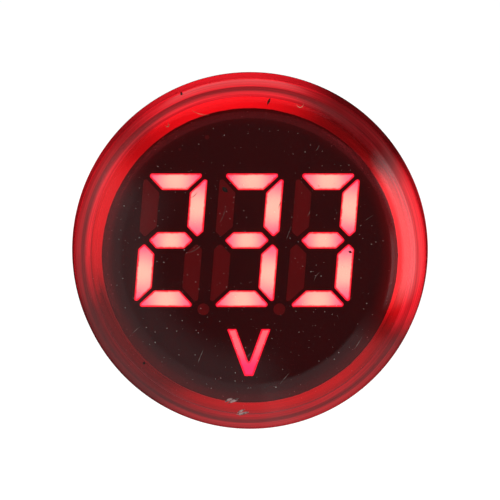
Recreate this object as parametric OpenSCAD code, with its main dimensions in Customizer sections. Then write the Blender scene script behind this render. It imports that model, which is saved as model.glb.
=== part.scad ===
// Round digital panel meter: a three-digit LED voltmeter in an indicator-lamp housing for a 22 mm panel hole.
// Frame: the origin is the centre of the panel's front face, on the barrel's axis. The display faces -Y,
// the digits stand along +Z, and +Y runs back through the panel to the terminals.
// Every module draws its piece with that axis along its own +Z, towards the viewer; facing_front() turns it.

/* [Head] */
// Diameter of the lens at its rim
rim_d = 29; // [28:0.5:33]
// Height of the lens above the housing flange
lens_h = 7.5; // [7:0.25:10]
// Thickness of the lens wall round the display
lens_wall = 1.4; // [1.2:0.1:1.6]
// Thickness of the lens in the middle of its front
lens_front_t = 1.5; // [1.2:0.1:2]
// Height of the straight band at the foot of the lens
rim_band_h = 1.2; // [0.8:0.1:2]
// How far the lens's side leans in above the band
side_lean = 0.25; // [0.1:0.05:0.6]
// Radius of the lens's rounded shoulder
shoulder_r = 3.3; // [2.6:0.1:3.6]
// Radius of the lens's slightly domed front
dome_r = 137; // [90:1:300]
// Thickness of the housing flange
flange_t = 3; // [2.75:0.25:4]
// How far the flange stands inside the lens rim
flange_inset = 0.2; // [0:0.1:0.4]

/* [Panel mounting] */
// Diameter of the neck that fills the panel hole
neck_d = 22; // [21.9:0.1:22.4]
// Length of the plain neck behind the gasket
neck_l = 1.5; // [1.25:0.25:2]
// Diameter over the thread's crests
thread_d = 21.8; // [21.4:0.1:21.8]
// Length of the threaded barrel behind the neck
thread_l = 19; // [18:0.5:30]
// Pitch of the thread
thread_pitch = 1.5; // [1:0.25:2]
// Thickness of the rubber panel gasket
gasket_t = 1.5; // [1:0.25:2.5]
// Distance across the flats cut along the thread
barrel_flat_d = 20.4; // [20.2:0.1:20.8]
// Outer diameter of the lock nut
nut_d = 26.4; // [25.8:0.2:30]
// Height of the lock nut
nut_h = 5.5; // [4:0.5:8]
// Thickness of the keyed washer under the nut
washer_t = 1; // [0.8:0.1:1.5]
// Room left between the panel plane and the keyed washer
grip_gap = 3; // [2.5:0.5:6]

/* [Display] */
// Width of the white ring left round the black display face
ring_w = 1.25; // [0.8:0.05:1.5]
// Height of a digit
digit_h = 10.7; // [9:0.1:11]
// Width of a digit
digit_w = 5.1; // [4.4:0.05:5.3]
// Distance from digit to digit
digit_pitch = 6.07; // [5.9:0.01:6.3]
// Width of a digit's strokes
stroke = 1.33; // [0.9:0.01:1.4]
// Width of the black gap between segments
segment_gap = 0.29; // [0.2:0.01:0.4]
// Lean of the digits, in degrees
digit_slant = 4.6; // [0:0.1:8]
// Height of the digits' middle above the middle of the face
digits_rise = 1.29; // [1:0.01:1.6]
// Diameter of a decimal point
point_d = 0.95; // [0.7:0.05:1.1]
// Height of the unit letter
letter_h = 3.8; // [3:0.1:4]
// Width of the unit letter
letter_w = 3.5; // [3:0.1:4]
// Width of the unit letter's strokes
letter_stroke = 0.75; // [0.5:0.05:0.9]

/* [Boards] */
// Thickness of both circuit boards
board_t = 1.2; // [1:0.1:1.6]
// Wall between the display board's pocket and the lens groove
pocket_wall = 0.95; // [0.7:0.05:1.5]
// Room between the power board and the rear plug
board_end_gap = 1.7; // [1:0.1:2.2]
// Diameter of the smoothing capacitor
capacitor_d = 6.3; // [5:0.1:6.5]
// Length of the smoothing capacitor
capacitor_l = 11; // [7:0.5:12]

/* [Rear end] */
// Diameter of the housing's bore
bore_d = 17.8; // [17.2:0.1:18]
// Diameter of the housing behind the thread
tail_d = 20; // [19.8:0.1:20.4]
// Length of the housing behind the thread
tail_l = 7.5; // [6.5:0.5:12]
// Depth of the terminal block behind the housing
block_l = 9; // [8.75:0.25:12]
// Depth of the terminal wells
well_depth = 5.5; // [5.25:0.25:6]
// Width of the terminal wells
well_w = 6.6; // [6.6:0.1:7]
// Thickness of the barrier between the terminals
barrier_t = 1.5; // [1.2:0.1:2]
// Distance of the terminal screws from the axis
screw_x = 4.6; // [4.4:0.1:4.7]
// Diameter of the terminal screws' thread
screw_d = 3.5; // [3:0.25:3.5]
// Diameter of the terminal screws' heads
head_d = 5.8; // [5.4:0.1:5.8]
// Side of the square clamp plates
clamp_side = 6; // [5.8:0.1:6]
// Wall of the clear terminal cover
cover_wall = 0.9; // [0.7:0.1:1.1]

/* [Hidden] */
$fn = 96;

// Clearances
slip = 0.08;            // pieces that slide or turn on each other
seat = 0.05;            // pieces that plug together and stay
eps = 0.01;             // overrun of a cutter past the face that it cuts

// Levels along the axis, from the panel's front face towards the viewer
flange_z = gasket_t;
lens_z = flange_z + flange_t;
lens_top_z = lens_z + lens_h;
cavity_top_z = lens_top_z - lens_front_t;
face_air = 0.6;
mask_t = 0.3;
mask_z = cavity_top_z - face_air - mask_t;
skirt_h = 0.7;
reflector_z = lens_z - skirt_h;
reflector_h = mask_z - reflector_z;
display_board_z = reflector_z - board_t;

// Levels along the axis behind the panel
relief_l = 0.8;
thread_z = -neck_l - relief_l;
tail_z = thread_z - thread_l;
block_z = tail_z - tail_l;
block_end_z = block_z - block_l;
well_z = block_end_z + well_depth;
collar_l = 2;
collar_z = block_z - collar_l;
washer_z = -grip_gap;
nut_z = washer_z - washer_t;

// Radii of the head
rim_r = rim_d / 2;
side_r = rim_r - side_lean;
cavity_r = rim_r - lens_wall;
plug_t = 0.65;
plug_r = cavity_r + plug_t;
plug_l = 1.2;
bead = 0.12;
seal_t = 0.4;
groove_z = lens_z - plug_l - seal_t;
face_r = cavity_r - ring_w;
pocket_r = cavity_r - seat - pocket_wall;
display_board_r = pocket_r - slip;
brim_r = cavity_r - slip;
brim_t = 0.7;
flange_r = rim_r - flange_inset;
gasket_inset = 0.3;
gasket_r = flange_r - gasket_inset;

// Radii of the barrel
neck_r = neck_d / 2;
thread_r = thread_d / 2;
nut_r = nut_d / 2;
undercut = 0.4;
undercut_r = neck_r - undercut;
relief_r = barrel_flat_d / 2;
tail_r = tail_d / 2;
bore_r = bore_d / 2;
guide_depth = 0.5;
nut_bore_r = thread_r + slip;

// Terminal block and what is screwed to it
block_r = tail_r - cover_wall - slip;
spigot_l = 2;
spigot_r = bore_r - seat;
lug_w = 4;
lug_h = 0.6;
lug_l = 1;
lug_play = 0.2;
plate_t = 0.8;
clamp_t = 1;
head_h = 2;
shank_l = 6;
shank_r = screw_d / 2 - seat;
tail_strip_w = 0.9;
tail_strip_x = clamp_side / 2 + 0.1 - tail_strip_w / 2;
tail_lap = 3;
clamp_z = well_z - plate_t - clamp_t;
cover_air = 0.2;
cover_end_z = block_end_z - cover_air - cover_wall;
cover_z = collar_z - seat;
access_r = head_d / 2 + 2 * cover_air;

// Boards and what is soldered to them
power_board_w = bore_d + 2 * (guide_depth - slip);
power_board_z = display_board_z - 1.4;
power_board_end_z = block_z + spigot_l + board_end_gap;
header_pitch = 2;
header_pins_n = 5;
header_block_h = 1.2;
pin_side = 0.6;
pin_lap = 3;
pin_y = board_t / 2 + pin_side / 2;
lead_r = 0.3;
led_size = [0.5, 0.5, 0.4];
driver_size = [6, 3.9, 1.5];
driver_y = -5.2;
capacitor_behind = 5;
dropper_size = [11, 5, 12];
dropper_behind = 6;
rectifier_size = [3.8, 2.3, 4.7];
rectifier_x = -5.6;
rectifier_behind = 12;
disc_r = 3.4;
disc_t = 3;
disc_stand = 0.8;
disc_before_end = 3.6;
resistor_l = 6;
resistor_r = 1.15;
resistor_x = 4;
resistor_before_end = 2;

// Which segments of each digit are lit: a top, b and c right, d bottom, e and f left, g middle
HUNDREDS_LIT = ["a", "b", "g", "e", "d"];
TENS_LIT = ["a", "b", "g", "c", "d"];
UNITS_LIT = ["a", "b", "g", "c", "d"];
SEGMENTS = ["a", "b", "c", "d", "e", "f", "g"];
digits_x = -0.25;
letter_x = -0.09;
letter_top_y = -5.83;
well_taper = 0.5;
letter_taper = 0.8;
fill_h = 2.4;

// ---------------------------------------------------------------- helpers

module facing_front() { rotate([90, 0, 0]) children(); }

// A ring round the axis, from z up, between two radii
module ring(inner, outer, z, h) {
    translate([0, 0, z])
        difference() {
            cylinder(r = outer, h = h);
            translate([0, 0, -eps]) cylinder(r = inner, h = h + 2 * eps);
        }
}

// A box centred on x and y that stands on z
module slab(size, at) {
    translate([at.x - size.x / 2, at.y - size.y / 2, at.z]) cube(size);
}

function has(list, item) = len(search([item], list, 0)[0]) > 0;

// Points of an arc round c, from one angle to another
function arc(c, r, from, to, steps) = [
    for (i = [0:steps])
        let (a = from + (to - from) * i / steps)
            [c.x + r * cos(a), c.y + r * sin(a)]
];

// ---------------------------------------------------------------- display segments

// The x shift at height y above a digit's middle, for the digits' lean
function lean(y) = y * tan(digit_slant);
function leaning(points) = [for (p = points) [p.x + lean(p.y), p.y]];

half_w = digit_w / 2;
half_h = digit_h / 2;
half_gap = segment_gap / sqrt(2);    // half of a gap, measured across a mitre at 45 degrees
blunt = 0.25;                        // how far the sharp tips of the mitres are cut back
blunt_run = 1.3;
waist = 0.27;                        // height of the uprights' tips above the digit's middle
waist_in = 0.47;                     // distance of those tips from the digit's side
waist_slope = 0.95;
middle_in = 0.77;                    // distance of the middle bar's tips from the digit's side

// The top bar: a trapezium between the two upper mitres
function bar_outline() =
    let (e = half_w - half_gap, low = half_h - stroke)
        [
            [-e + blunt_run * blunt, half_h], [e - blunt_run * blunt, half_h],
            [e - blunt, half_h - blunt], [e - stroke, low],
            [-e + stroke, low], [-e + blunt, half_h - blunt]
        ];

// The upper right upright, from the top mitre down to its tip beside the middle bar
function upright_outline() =
    let (top = half_h - half_gap, inner = half_w - stroke)
        [
            [half_w, top - blunt_run * blunt], [half_w - blunt, top - blunt], [inner, top - stroke],
            [inner, waist + (stroke - waist_in) * waist_slope], [half_w - waist_in, waist],
            [half_w, waist + waist_in * waist_slope]
        ];

// The middle bar: a hexagon with a point at each end
function middle_outline() =
    let (e = half_w - middle_in, half = stroke / 2)
        [[-e, 0], [-e + half, half], [e - half, half], [e, 0], [e - half, -half], [-e + half, -half]];

function flip_x(points) = [for (p = points) [-p.x, p.y]];
function flip_y(points) = [for (p = points) [p.x, -p.y]];

function segment_outline(name) =
    name == "a" ? bar_outline()
    : name == "b" ? upright_outline()
    : name == "c" ? flip_y(upright_outline())
    : name == "d" ? flip_y(bar_outline())
    : name == "e" ? flip_x(flip_y(upright_outline()))
    : name == "f" ? flip_x(upright_outline())
    : middle_outline();

function middle_of(points) = [
    (max([for (p = points) p.x]) + min([for (p = points) p.x])) / 2,
    (max([for (p = points) p.y]) + min([for (p = points) p.y])) / 2
];

function digit_at(index) = [digits_x + (index - 1) * digit_pitch, digits_rise];
function point_at(index) = digit_at(index) + [half_w + lean(-half_h) + point_d / 2, -half_h - 0.18];

function letter_outline() =
    let (
        top = letter_top_y, foot = letter_top_y - letter_h, half = letter_w / 2,
        across = letter_stroke, toe = letter_stroke * 0.46, crotch = foot + letter_stroke * 1.35
    )
        [
            [letter_x - half, top], [letter_x - half + across, top], [letter_x, crotch],
            [letter_x + half - across, top], [letter_x + half, top],
            [letter_x + toe, foot], [letter_x - toe, foot]
        ];

// A column of light under a window: straight through the mask, then narrowing down into the reflector
module light_column(points, rise, depth, taper) {
    c = middle_of(points);
    narrowed = 1 - (1 - taper) * depth / reflector_h;
    translate([c.x, c.y, mask_z]) {
        linear_extrude(height = rise) translate(-c) polygon(points);
        mirror([0, 0, 1]) linear_extrude(height = depth, scale = narrowed) translate(-c) polygon(points);
    }
}

module segment_column(index, name, rise, depth) {
    translate([digit_at(index).x, digit_at(index).y, 0])
        light_column(leaning(segment_outline(name)), rise, depth, well_taper);
}

// The diffusing fills of one digit: the segments that are lit, or those that are not
module digit_fills(index, lit_names, lit) {
    for (name = SEGMENTS)
        if (has(lit_names, name) == lit)
            segment_column(index, name, mask_t, fill_h);
}

// Every window of the mask, as flat outlines
module face_windows() {
    for (index = [0:2])
        for (name = SEGMENTS)
            translate(digit_at(index)) polygon(leaning(segment_outline(name)));
    for (index = [0:1])
        translate(point_at(index)) circle(d = point_d);
    polygon(letter_outline());
}

// Everything that light comes up through in the reflector
module light_wells() {
    depth = reflector_h + eps;
    for (index = [0:2])
        for (name = SEGMENTS)
            segment_column(index, name, eps, depth);
    for (index = [0:1])
        translate([point_at(index).x, point_at(index).y, reflector_z - eps])
            cylinder(d = point_d, h = depth + eps);
    light_column(letter_outline(), eps, depth, letter_taper);
}

// ---------------------------------------------------------------- head

// Tinted cap: a slightly domed front, a rounded shoulder, and a plug that clicks into the flange
module lens() {
    across = side_r - shoulder_r;
    turn = asin(across / (dome_r - shoulder_r));
    dome_z = lens_top_z - dome_r;
    shoulder = [across, dome_z + (dome_r - shoulder_r) * cos(turn)];
    corner_r = shoulder_r - lens_wall + 0.3;
    corner = [cavity_r - corner_r, cavity_top_z - corner_r];
    lead_in = 0.1;
    color([0.82, 0.05, 0.07, 0.6])
        rotate_extrude()
            polygon(concat(
                [
                    [cavity_r, lens_z - plug_l], [plug_r - lead_in, lens_z - plug_l],
                    [plug_r, lens_z - plug_l * 0.75], [plug_r + bead, lens_z - plug_l / 2],
                    [plug_r, lens_z - plug_l / 4], [plug_r, lens_z],
                    [rim_r - lead_in, lens_z], [rim_r, lens_z + lead_in], [rim_r, lens_z + rim_band_h]
                ],
                arc(shoulder, shoulder_r, 0, 90 - turn, 12),
                arc([0, dome_z], dome_r, 90 - turn * 0.75, 90, 3),
                [[0, cavity_top_z]],
                arc(corner, corner_r, 90, 0, 8)
            ));
}

// Flat rubber ring at the bottom of the flange's groove, under the lens plug
module lens_seal() {
    color("dimgray") ring(cavity_r, plug_r, groove_z, seal_t);
}

// Black mask over the reflector, with a window for each segment
module face_mask() {
    color([0.07, 0.05, 0.05])
        translate([0, 0, mask_z])
            linear_extrude(height = mask_t)
                difference() {
                    circle(r = face_r);
                    face_windows();
                }
}

// White reflector block: a well under each window, a skirt in the flange's pocket, and a brim that rests on it
module reflector() {
    chamfer = 0.3;
    color("whitesmoke")
        difference() {
            rotate_extrude()
                polygon([
                    [0, reflector_z], [display_board_r, reflector_z], [display_board_r, lens_z], [brim_r, lens_z],
                    [brim_r, lens_z + brim_t - chamfer], [brim_r - chamfer, lens_z + brim_t],
                    [face_r, lens_z + brim_t], [face_r, mask_z], [0, mask_z]
                ]);
            light_wells();
        }
}

module hundreds_lit() { color([1, 0.55, 0.5]) digit_fills(0, HUNDREDS_LIT, true); }
module hundreds_dark() { color([0.3, 0.06, 0.08]) digit_fills(0, HUNDREDS_LIT, false); }
module tens_lit() { color([1, 0.55, 0.5]) digit_fills(1, TENS_LIT, true); }
module tens_dark() { color([0.3, 0.06, 0.08]) digit_fills(1, TENS_LIT, false); }
module units_lit() { color([1, 0.55, 0.5]) digit_fills(2, UNITS_LIT, true); }
module units_dark() { color([0.3, 0.06, 0.08]) digit_fills(2, UNITS_LIT, false); }
module unit_letter() { color([1, 0.3, 0.4]) light_column(letter_outline(), mask_t, fill_h, letter_taper); }

module decimal_points() {
    color([0.3, 0.06, 0.08])
        for (index = [0:1])
            translate([point_at(index).x, point_at(index).y, mask_z - fill_h])
                cylinder(d = point_d, h = fill_h + mask_t);
}

// ---------------------------------------------------------------- boards

function header_x(i) = (i - (header_pins_n - 1) / 2) * header_pitch;

// Round board under the reflector, with square holes for the header's pins
module display_board() {
    color("darkgreen")
        translate([0, 0, display_board_z])
            difference() {
                cylinder(r = display_board_r, h = board_t);
                for (i = [0:header_pins_n - 1])
                    slab([pin_side, pin_side, board_t + 2 * eps], [header_x(i), pin_y, -eps]);
            }
}

// One light-emitting chip under the middle of each well
module led_chips() {
    color("khaki") {
        for (index = [0:2])
            for (name = SEGMENTS) {
                c = digit_at(index) + middle_of(leaning(segment_outline(name)));
                slab(led_size, [c.x, c.y, reflector_z]);
            }
        for (index = [0:1])
            slab(led_size, [point_at(index).x, point_at(index).y, reflector_z]);
        slab(led_size, [letter_x, letter_top_y - letter_h + letter_stroke, reflector_z]);
    }
}

// Small-outline controller on the back of the display board, with its gull-wing legs
module driver_chip() {
    leg = [0.3, 0.9, 0.25];
    legs = 7;
    leg_pitch = 0.8;
    standoff = 0.1;
    color("black") {
        slab(driver_size, [0, driver_y, display_board_z - standoff - driver_size.z]);
        for (side = [-1, 1])
            for (i = [0:legs - 1])
                slab(leg, [
                    (i - (legs - 1) / 2) * leg_pitch,
                    driver_y + side * (driver_size.y + leg.y) / 2,
                    display_board_z - leg.z
                ]);
    }
}

module header_block() {
    depth = 2;
    color("black")
        difference() {
            slab([header_pins_n * header_pitch, depth, header_block_h], [0, pin_y, display_board_z - header_block_h]);
            header_pins();
        }
}

// Pins that stand in the display board and lie on the power board
module header_pins() {
    length = reflector_z - power_board_z + pin_lap;
    color("gold")
        for (i = [0:header_pins_n - 1])
            slab([pin_side, pin_side, length], [header_x(i), pin_y, power_board_z - pin_lap]);
}

// Board that runs back through the barrel, its edges in the housing's guides
module power_board() {
    color("darkgreen") slab([power_board_w, board_t, power_board_z - power_board_end_z], [0, 0, power_board_end_z]);
}

// Electrolytic can lying under the board, with its crimp groove and two leads
module smoothing_capacitor() {
    r = capacitor_d / 2;
    front = power_board_z - capacitor_behind;
    edge = 0.3;
    crimp = 0.35;
    crimp_at = 1.6;
    lead_l = 2.2;
    lead_x = 1.25;
    color("midnightblue") {
        translate([0, -board_t / 2 - r, front - capacitor_l])
            rotate_extrude()
                polygon([
                    [0, 0], [r - edge, 0], [r, edge],
                    [r, capacitor_l - crimp_at - crimp], [r - crimp, capacitor_l - crimp_at],
                    [r, capacitor_l - crimp_at + crimp], [r, capacitor_l - edge],
                    [r - edge, capacitor_l], [0, capacitor_l]
                ]);
        for (side = [-1, 1])
            translate([side * lead_x, -board_t / 2 - lead_r, front - eps]) cylinder(r = lead_r, h = lead_l);
    }
}

// Film capacitor that drops the mains voltage, standing on the board
module dropper_capacitor() {
    color("goldenrod")
        slab(dropper_size, [0, (board_t + dropper_size.y) / 2, power_board_z - dropper_behind - dropper_size.z]);
}

// Four-legged rectifier flat under the board, beside the smoothing capacitor
module bridge_rectifier() {
    leg = [0.6, 0.25, 0.8];
    leg_x = 1.2;
    z = power_board_z - rectifier_behind;
    color("black") {
        slab(rectifier_size, [rectifier_x, -(board_t + rectifier_size.y) / 2, z]);
        for (side = [-1, 1])
            for (end = [-leg.z, rectifier_size.z])
                slab(leg, [rectifier_x + side * leg_x, -(board_t + leg.y) / 2, z + end]);
    }
}

// Round varistor across the supply, standing on its two leads behind the film capacitor
module surge_disc() {
    z = power_board_end_z + disc_before_end;
    color("royalblue") {
        translate([0, board_t / 2 + disc_stand + disc_r, z]) cylinder(r = disc_r, h = disc_t);
        for (side = [-1, 1])
            translate([side * disc_r / 2, board_t / 2, z + disc_t / 2])
                rotate([-90, 0, 0]) cylinder(r = lead_r, h = disc_stand + disc_r / 2);
    }
}

// Two axial resistors under the board, each with a lead bent down to it at both ends
module drop_resistors() {
    r = resistor_r;
    waist_r = r - 0.2;
    cap_l = 1.2;
    edge = 0.3;
    lead_l = 1;
    color("burlywood")
        for (side = [-1, 1])
            translate([side * resistor_x, -board_t / 2 - r, power_board_end_z + resistor_before_end]) {
                rotate_extrude()
                    polygon([
                        [0, 0], [r - edge, 0], [r, edge], [r, cap_l], [waist_r, cap_l + edge],
                        [waist_r, resistor_l - cap_l - edge], [r, resistor_l - cap_l], [r, resistor_l - edge],
                        [r - edge, resistor_l], [0, resistor_l]
                    ]);
                translate([0, 0, -lead_l]) cylinder(r = lead_r, h = resistor_l + 2 * lead_l);
                for (end = [-lead_l, resistor_l + lead_l])
                    translate([0, 0, end]) rotate([-90, 0, 0]) cylinder(r = lead_r, h = r);
            }
}

// ---------------------------------------------------------------- housing and panel hardware

// One moulding: flange with its lens groove and display pocket, neck, flatted thread barrel and tail
module housing() {
    edge = 0.3;
    guide_w = power_board_w + 2 * slip;
    window = [lug_w + 2 * lug_play, tail_r, lug_l + 2 * lug_play];
    color([0.09, 0.09, 0.1])
        difference() {
            union() {
                rotate_extrude()
                    polygon([
                        [0, flange_z], [flange_r - edge, flange_z], [flange_r, flange_z + edge],
                        [flange_r, lens_z - edge / 3], [flange_r - edge / 3, lens_z], [0, lens_z]
                    ]);
                cylinder(r = undercut_r, h = flange_z + eps);
                translate([0, 0, -neck_l]) cylinder(r = neck_r, h = neck_l);
                translate([0, 0, thread_z - eps]) cylinder(r = relief_r, h = relief_l + 2 * eps);
                barrel();
                tail();
            }
            translate([0, 0, block_z - eps]) cylinder(r = bore_r, h = lens_z - block_z + 1);
            translate([0, 0, display_board_z]) cylinder(r = pocket_r, h = lens_z);
            lens_groove();
            // guides that hold the edges of the power board
            slab([guide_w, board_t + 2 * seat, display_board_z - block_z + 1], [0, 0, block_z - eps]);
            // windows that the terminal block's lugs click into
            for (side = [-1, 1])
                slab(window, [0, side * (bore_r + window.y / 2 - guide_depth), lug_z - lug_play]);
        }
}

lug_z = block_z + spigot_l - lug_l - lug_play;

// Threaded length, as a cylinder over the crests with a flat along each side
module barrel() {
    translate([0, 0, tail_z])
        intersection() {
            cylinder(r = thread_r, h = thread_l + eps);
            slab([barrel_flat_d, 2 * thread_r, thread_l + 2 * eps], [0, 0, 0]);
            thread_rings();
        }
}

// The thread's relief, as one tapered ring to each pitch
module thread_rings() {
    root_r = relief_r;
    run = (thread_r - root_r) * tan(30);
    crest = thread_pitch / 8;
    rings = floor(thread_l / thread_pitch) - 1;
    first = (thread_l - rings * thread_pitch) / 2;
    rotate_extrude()
        polygon(concat(
            [[0, -eps], [root_r, -eps]],
            [
                for (i = [0:rings])
                    for (p = [[root_r, -run - crest], [thread_r, -crest], [thread_r, crest], [root_r, run + crest]])
                        [p.x, first + i * thread_pitch + p.y]
            ],
            [[root_r, thread_l + 2 * eps], [0, thread_l + 2 * eps]]
        ));
}

// Plain length behind the thread, with its rear edge turned
module tail() {
    edge = 0.3;
    rotate_extrude()
        polygon([
            [0, block_z], [tail_r - edge, block_z], [tail_r, block_z + edge], [tail_r, tail_z + eps], [0, tail_z + eps]
        ]);
}

// Annular groove that the lens plug and its bead click into
module lens_groove() {
    inner = cavity_r - seat;
    outer = plug_r + seat;
    mid = lens_z - plug_l / 2;
    rotate_extrude()
        polygon([
            [inner, groove_z], [outer, groove_z], [outer, mid - plug_l / 4], [outer + bead, mid],
            [outer, mid + plug_l / 4], [outer, lens_z + 1], [inner, lens_z + 1]
        ]);
}

// Rubber ring between the flange and the panel, with a lip that grips the undercut behind the flange
module panel_gasket() {
    edge = 0.25;
    lip_r = undercut_r + seat;
    color([0.12, 0.12, 0.12])
        rotate_extrude()
            polygon([
                [neck_r + seat, 0], [gasket_r - edge, 0], [gasket_r, edge], [gasket_r, gasket_t - edge],
                [gasket_r - edge, gasket_t], [lip_r, gasket_t], [lip_r, undercut]
            ]);
}

// Washer whose hole follows the barrel's flats, so that it slides but can't turn
module keyed_washer() {
    flat = barrel_flat_d + 2 * slip;
    color("silver")
        translate([0, 0, washer_z - washer_t])
            difference() {
                cylinder(r = nut_r, h = washer_t);
                intersection() {
                    translate([0, 0, -eps]) cylinder(r = nut_bore_r, h = washer_t + 2 * eps);
                    slab([flat, 3 * thread_r, washer_t + 4 * eps], [0, 0, -2 * eps]);
                }
            }
}

// Nut turned by hand: a plain flange against the washer, and a ring of flutes behind it
module lock_nut() {
    edge = 0.4;
    flange_h = 1.5;
    flutes = 24;
    flute_r = 0.8;
    flute_depth = 0.45;
    color([0.1, 0.1, 0.11])
        translate([0, 0, nut_z - nut_h])
            difference() {
                rotate_extrude()
                    polygon([
                        [nut_bore_r + edge, 0], [nut_r - edge, 0], [nut_r, edge], [nut_r, nut_h - edge],
                        [nut_r - edge, nut_h], [nut_bore_r, nut_h], [nut_bore_r, edge]
                    ]);
                for (i = [0:flutes - 1])
                    rotate(i * 360 / flutes)
                        translate([nut_r - flute_depth + flute_r, 0, -eps])
                            cylinder(r = flute_r, h = nut_h - flange_h + eps);
            }
}

// ---------------------------------------------------------------- terminals

tail_strip_y = (board_t + plate_t) / 2;

// What follows is drawn for the right-hand terminal, and turned half round the axis for the left-hand one.
// The right-hand plate solders to the top of the board, and the left-hand one to its underside.
module at_terminal(side) { rotate(side > 0 ? 0 : 180) translate([screw_x, 0, 0]) children(); }

// Rear plug: spigot with snap lugs, collar, and two open-sided wells with a barrier between them
module terminal_block() {
    well_l = block_r * 2;
    under_screw = shank_l - clamp_t - plate_t + 2 * cover_air;
    lug_out = lug_h + spigot_r / 4;
    color([0.09, 0.09, 0.1])
        difference() {
            union() {
                translate([0, 0, block_z]) cylinder(r = spigot_r, h = spigot_l);
                translate([0, 0, collar_z]) cylinder(r = tail_r, h = collar_l);
                translate([0, 0, block_end_z]) cylinder(r = block_r, h = block_l - collar_l + eps);
                for (side = [-1, 1])
                    slab([lug_w, lug_out, lug_l], [0, side * (spigot_r + lug_h - lug_out / 2), lug_z]);
            }
            for (side = [-1, 1])
                slab([well_l, well_w, well_depth + eps], [side * (barrier_t + well_l) / 2, 0, block_end_z - eps]);
            for (side = [-1, 1])
                at_terminal(side) {
                    translate([0, 0, well_z - eps]) cylinder(r = screw_d / 2 + slip, h = under_screw);
                    slab([tail_strip_w + 2 * seat, plate_t + 2 * seat, block_l + spigot_l],
                         [tail_strip_x, tail_strip_y, well_z - eps]);
                }
        }
}

// Brass plate on the floor of a well: tapped for the screw, with a tail through the block to the board
module terminal_plate(side) {
    inner = clamp_side / 2;
    outer = tail_strip_x + tail_strip_w / 2;
    tail_end_z = power_board_end_z + tail_lap;
    color("gold")
        at_terminal(side)
            translate([0, 0, well_z - plate_t])
                difference() {
                    union() {
                        slab([inner + outer, clamp_side, plate_t], [(outer - inner) / 2, 0, 0]);
                        slab([tail_strip_w, plate_t, tail_end_z - well_z + plate_t], [tail_strip_x, tail_strip_y, 0]);
                    }
                    translate([0, 0, -eps]) cylinder(d = screw_d, h = plate_t + 2 * eps);
                }
}

// Square clamp plate under the screw head, with two ribs across it that bite the wire
module clamp_plate(side) {
    rib = [0.5, clamp_side, 0.2];
    color("silver")
        at_terminal(side)
            translate([0, 0, clamp_z])
                difference() {
                    slab([clamp_side, clamp_side, clamp_t], [0, 0, 0]);
                    for (x = [-1, 1])
                        slab([rib.x, rib.y + 1, rib.z + eps], [x * (clamp_side / 2 - rib.x), 0, clamp_t - rib.z]);
                    translate([0, 0, -eps]) cylinder(r = shank_r + slip, h = clamp_t + 2 * eps);
                }
}

// Cheese-head screw with a cross recess
module terminal_screw(side) {
    slot = [head_d * 0.62, 0.8, 1.1];
    edge = 0.5;
    color("silver")
        at_terminal(side)
            translate([0, 0, clamp_z])
                difference() {
                    union() {
                        rotate_extrude()
                            polygon([
                                [0, 0], [head_d / 2, 0], [head_d / 2, edge - head_h],
                                [head_d / 2 - edge, -head_h], [0, -head_h]
                            ]);
                        cylinder(r = shank_r, h = shank_l);
                    }
                    for (turn = [0, 90])
                        rotate(turn) slab([slot.x, slot.y, slot.z + eps], [0, 0, -head_h - eps]);
                }
}

// Clear cap over the terminals, open where the wires leave and over each screw
module terminal_cover() {
    inner = tail_r - cover_wall;
    length = cover_z - cover_end_z;
    color([0.85, 0.9, 0.95, 0.4])
        translate([0, 0, cover_end_z])
            difference() {
                cylinder(r = tail_r, h = length);
                translate([0, 0, cover_wall]) cylinder(r = inner, h = length);
                for (side = [-1, 1])
                    at_terminal(side) translate([0, 0, -eps]) cylinder(r = access_r, h = cover_wall + 2 * eps);
                slab([3 * tail_r, well_w, length], [0, 0, cover_wall]);
            }
}

// ---------------------------------------------------------------- nodes

facing_front() lens();
facing_front() lens_seal();
facing_front() face_mask();
facing_front() reflector();
facing_front() hundreds_lit();
facing_front() hundreds_dark();
facing_front() tens_lit();
facing_front() tens_dark();
facing_front() units_lit();
facing_front() units_dark();
facing_front() decimal_points();
facing_front() unit_letter();
facing_front() display_board();
facing_front() led_chips();
facing_front() driver_chip();
facing_front() header_block();
facing_front() header_pins();
facing_front() power_board();
facing_front() smoothing_capacitor();
facing_front() dropper_capacitor();
facing_front() bridge_rectifier();
facing_front() surge_disc();
facing_front() drop_resistors();
facing_front() housing();
facing_front() panel_gasket();
facing_front() keyed_washer();
facing_front() lock_nut();
facing_front() terminal_block();
facing_front() terminal_plate(-1);  // terminal_plate_left
facing_front() terminal_plate(1);  // terminal_plate_right
facing_front() clamp_plate(-1);  // clamp_plate_left
facing_front() clamp_plate(1);  // clamp_plate_right
facing_front() terminal_screw(-1);  // terminal_screw_left
facing_front() terminal_screw(1);  // terminal_screw_right
facing_front() terminal_cover();
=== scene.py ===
# %% [markdown]
# # A round digital panel meter
#
# A three-digit voltmeter that lives in the shell of a 22 mm indicator lamp. The measured frame gives every
# piece its size and place, and this script gives each one the surface that it has in the hand.

# %% The measured frame
import math
import random

import bmesh
import bpy
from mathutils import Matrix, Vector
from mathutils.geometry import delaunay_2d_cdt


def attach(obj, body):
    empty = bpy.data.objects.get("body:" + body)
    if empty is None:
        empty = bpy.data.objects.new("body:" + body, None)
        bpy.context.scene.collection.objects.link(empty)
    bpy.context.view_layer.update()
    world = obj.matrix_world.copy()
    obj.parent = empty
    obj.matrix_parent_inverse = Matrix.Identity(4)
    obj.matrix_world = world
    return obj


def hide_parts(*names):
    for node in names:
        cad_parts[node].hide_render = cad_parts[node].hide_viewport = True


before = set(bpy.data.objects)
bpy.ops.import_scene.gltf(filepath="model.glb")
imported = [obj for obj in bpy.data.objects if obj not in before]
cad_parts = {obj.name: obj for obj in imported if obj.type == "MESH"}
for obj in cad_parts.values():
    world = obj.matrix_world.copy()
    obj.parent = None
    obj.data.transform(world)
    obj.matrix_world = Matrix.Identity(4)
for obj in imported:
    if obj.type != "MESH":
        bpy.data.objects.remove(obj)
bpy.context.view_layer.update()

MM = 0.001

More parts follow.
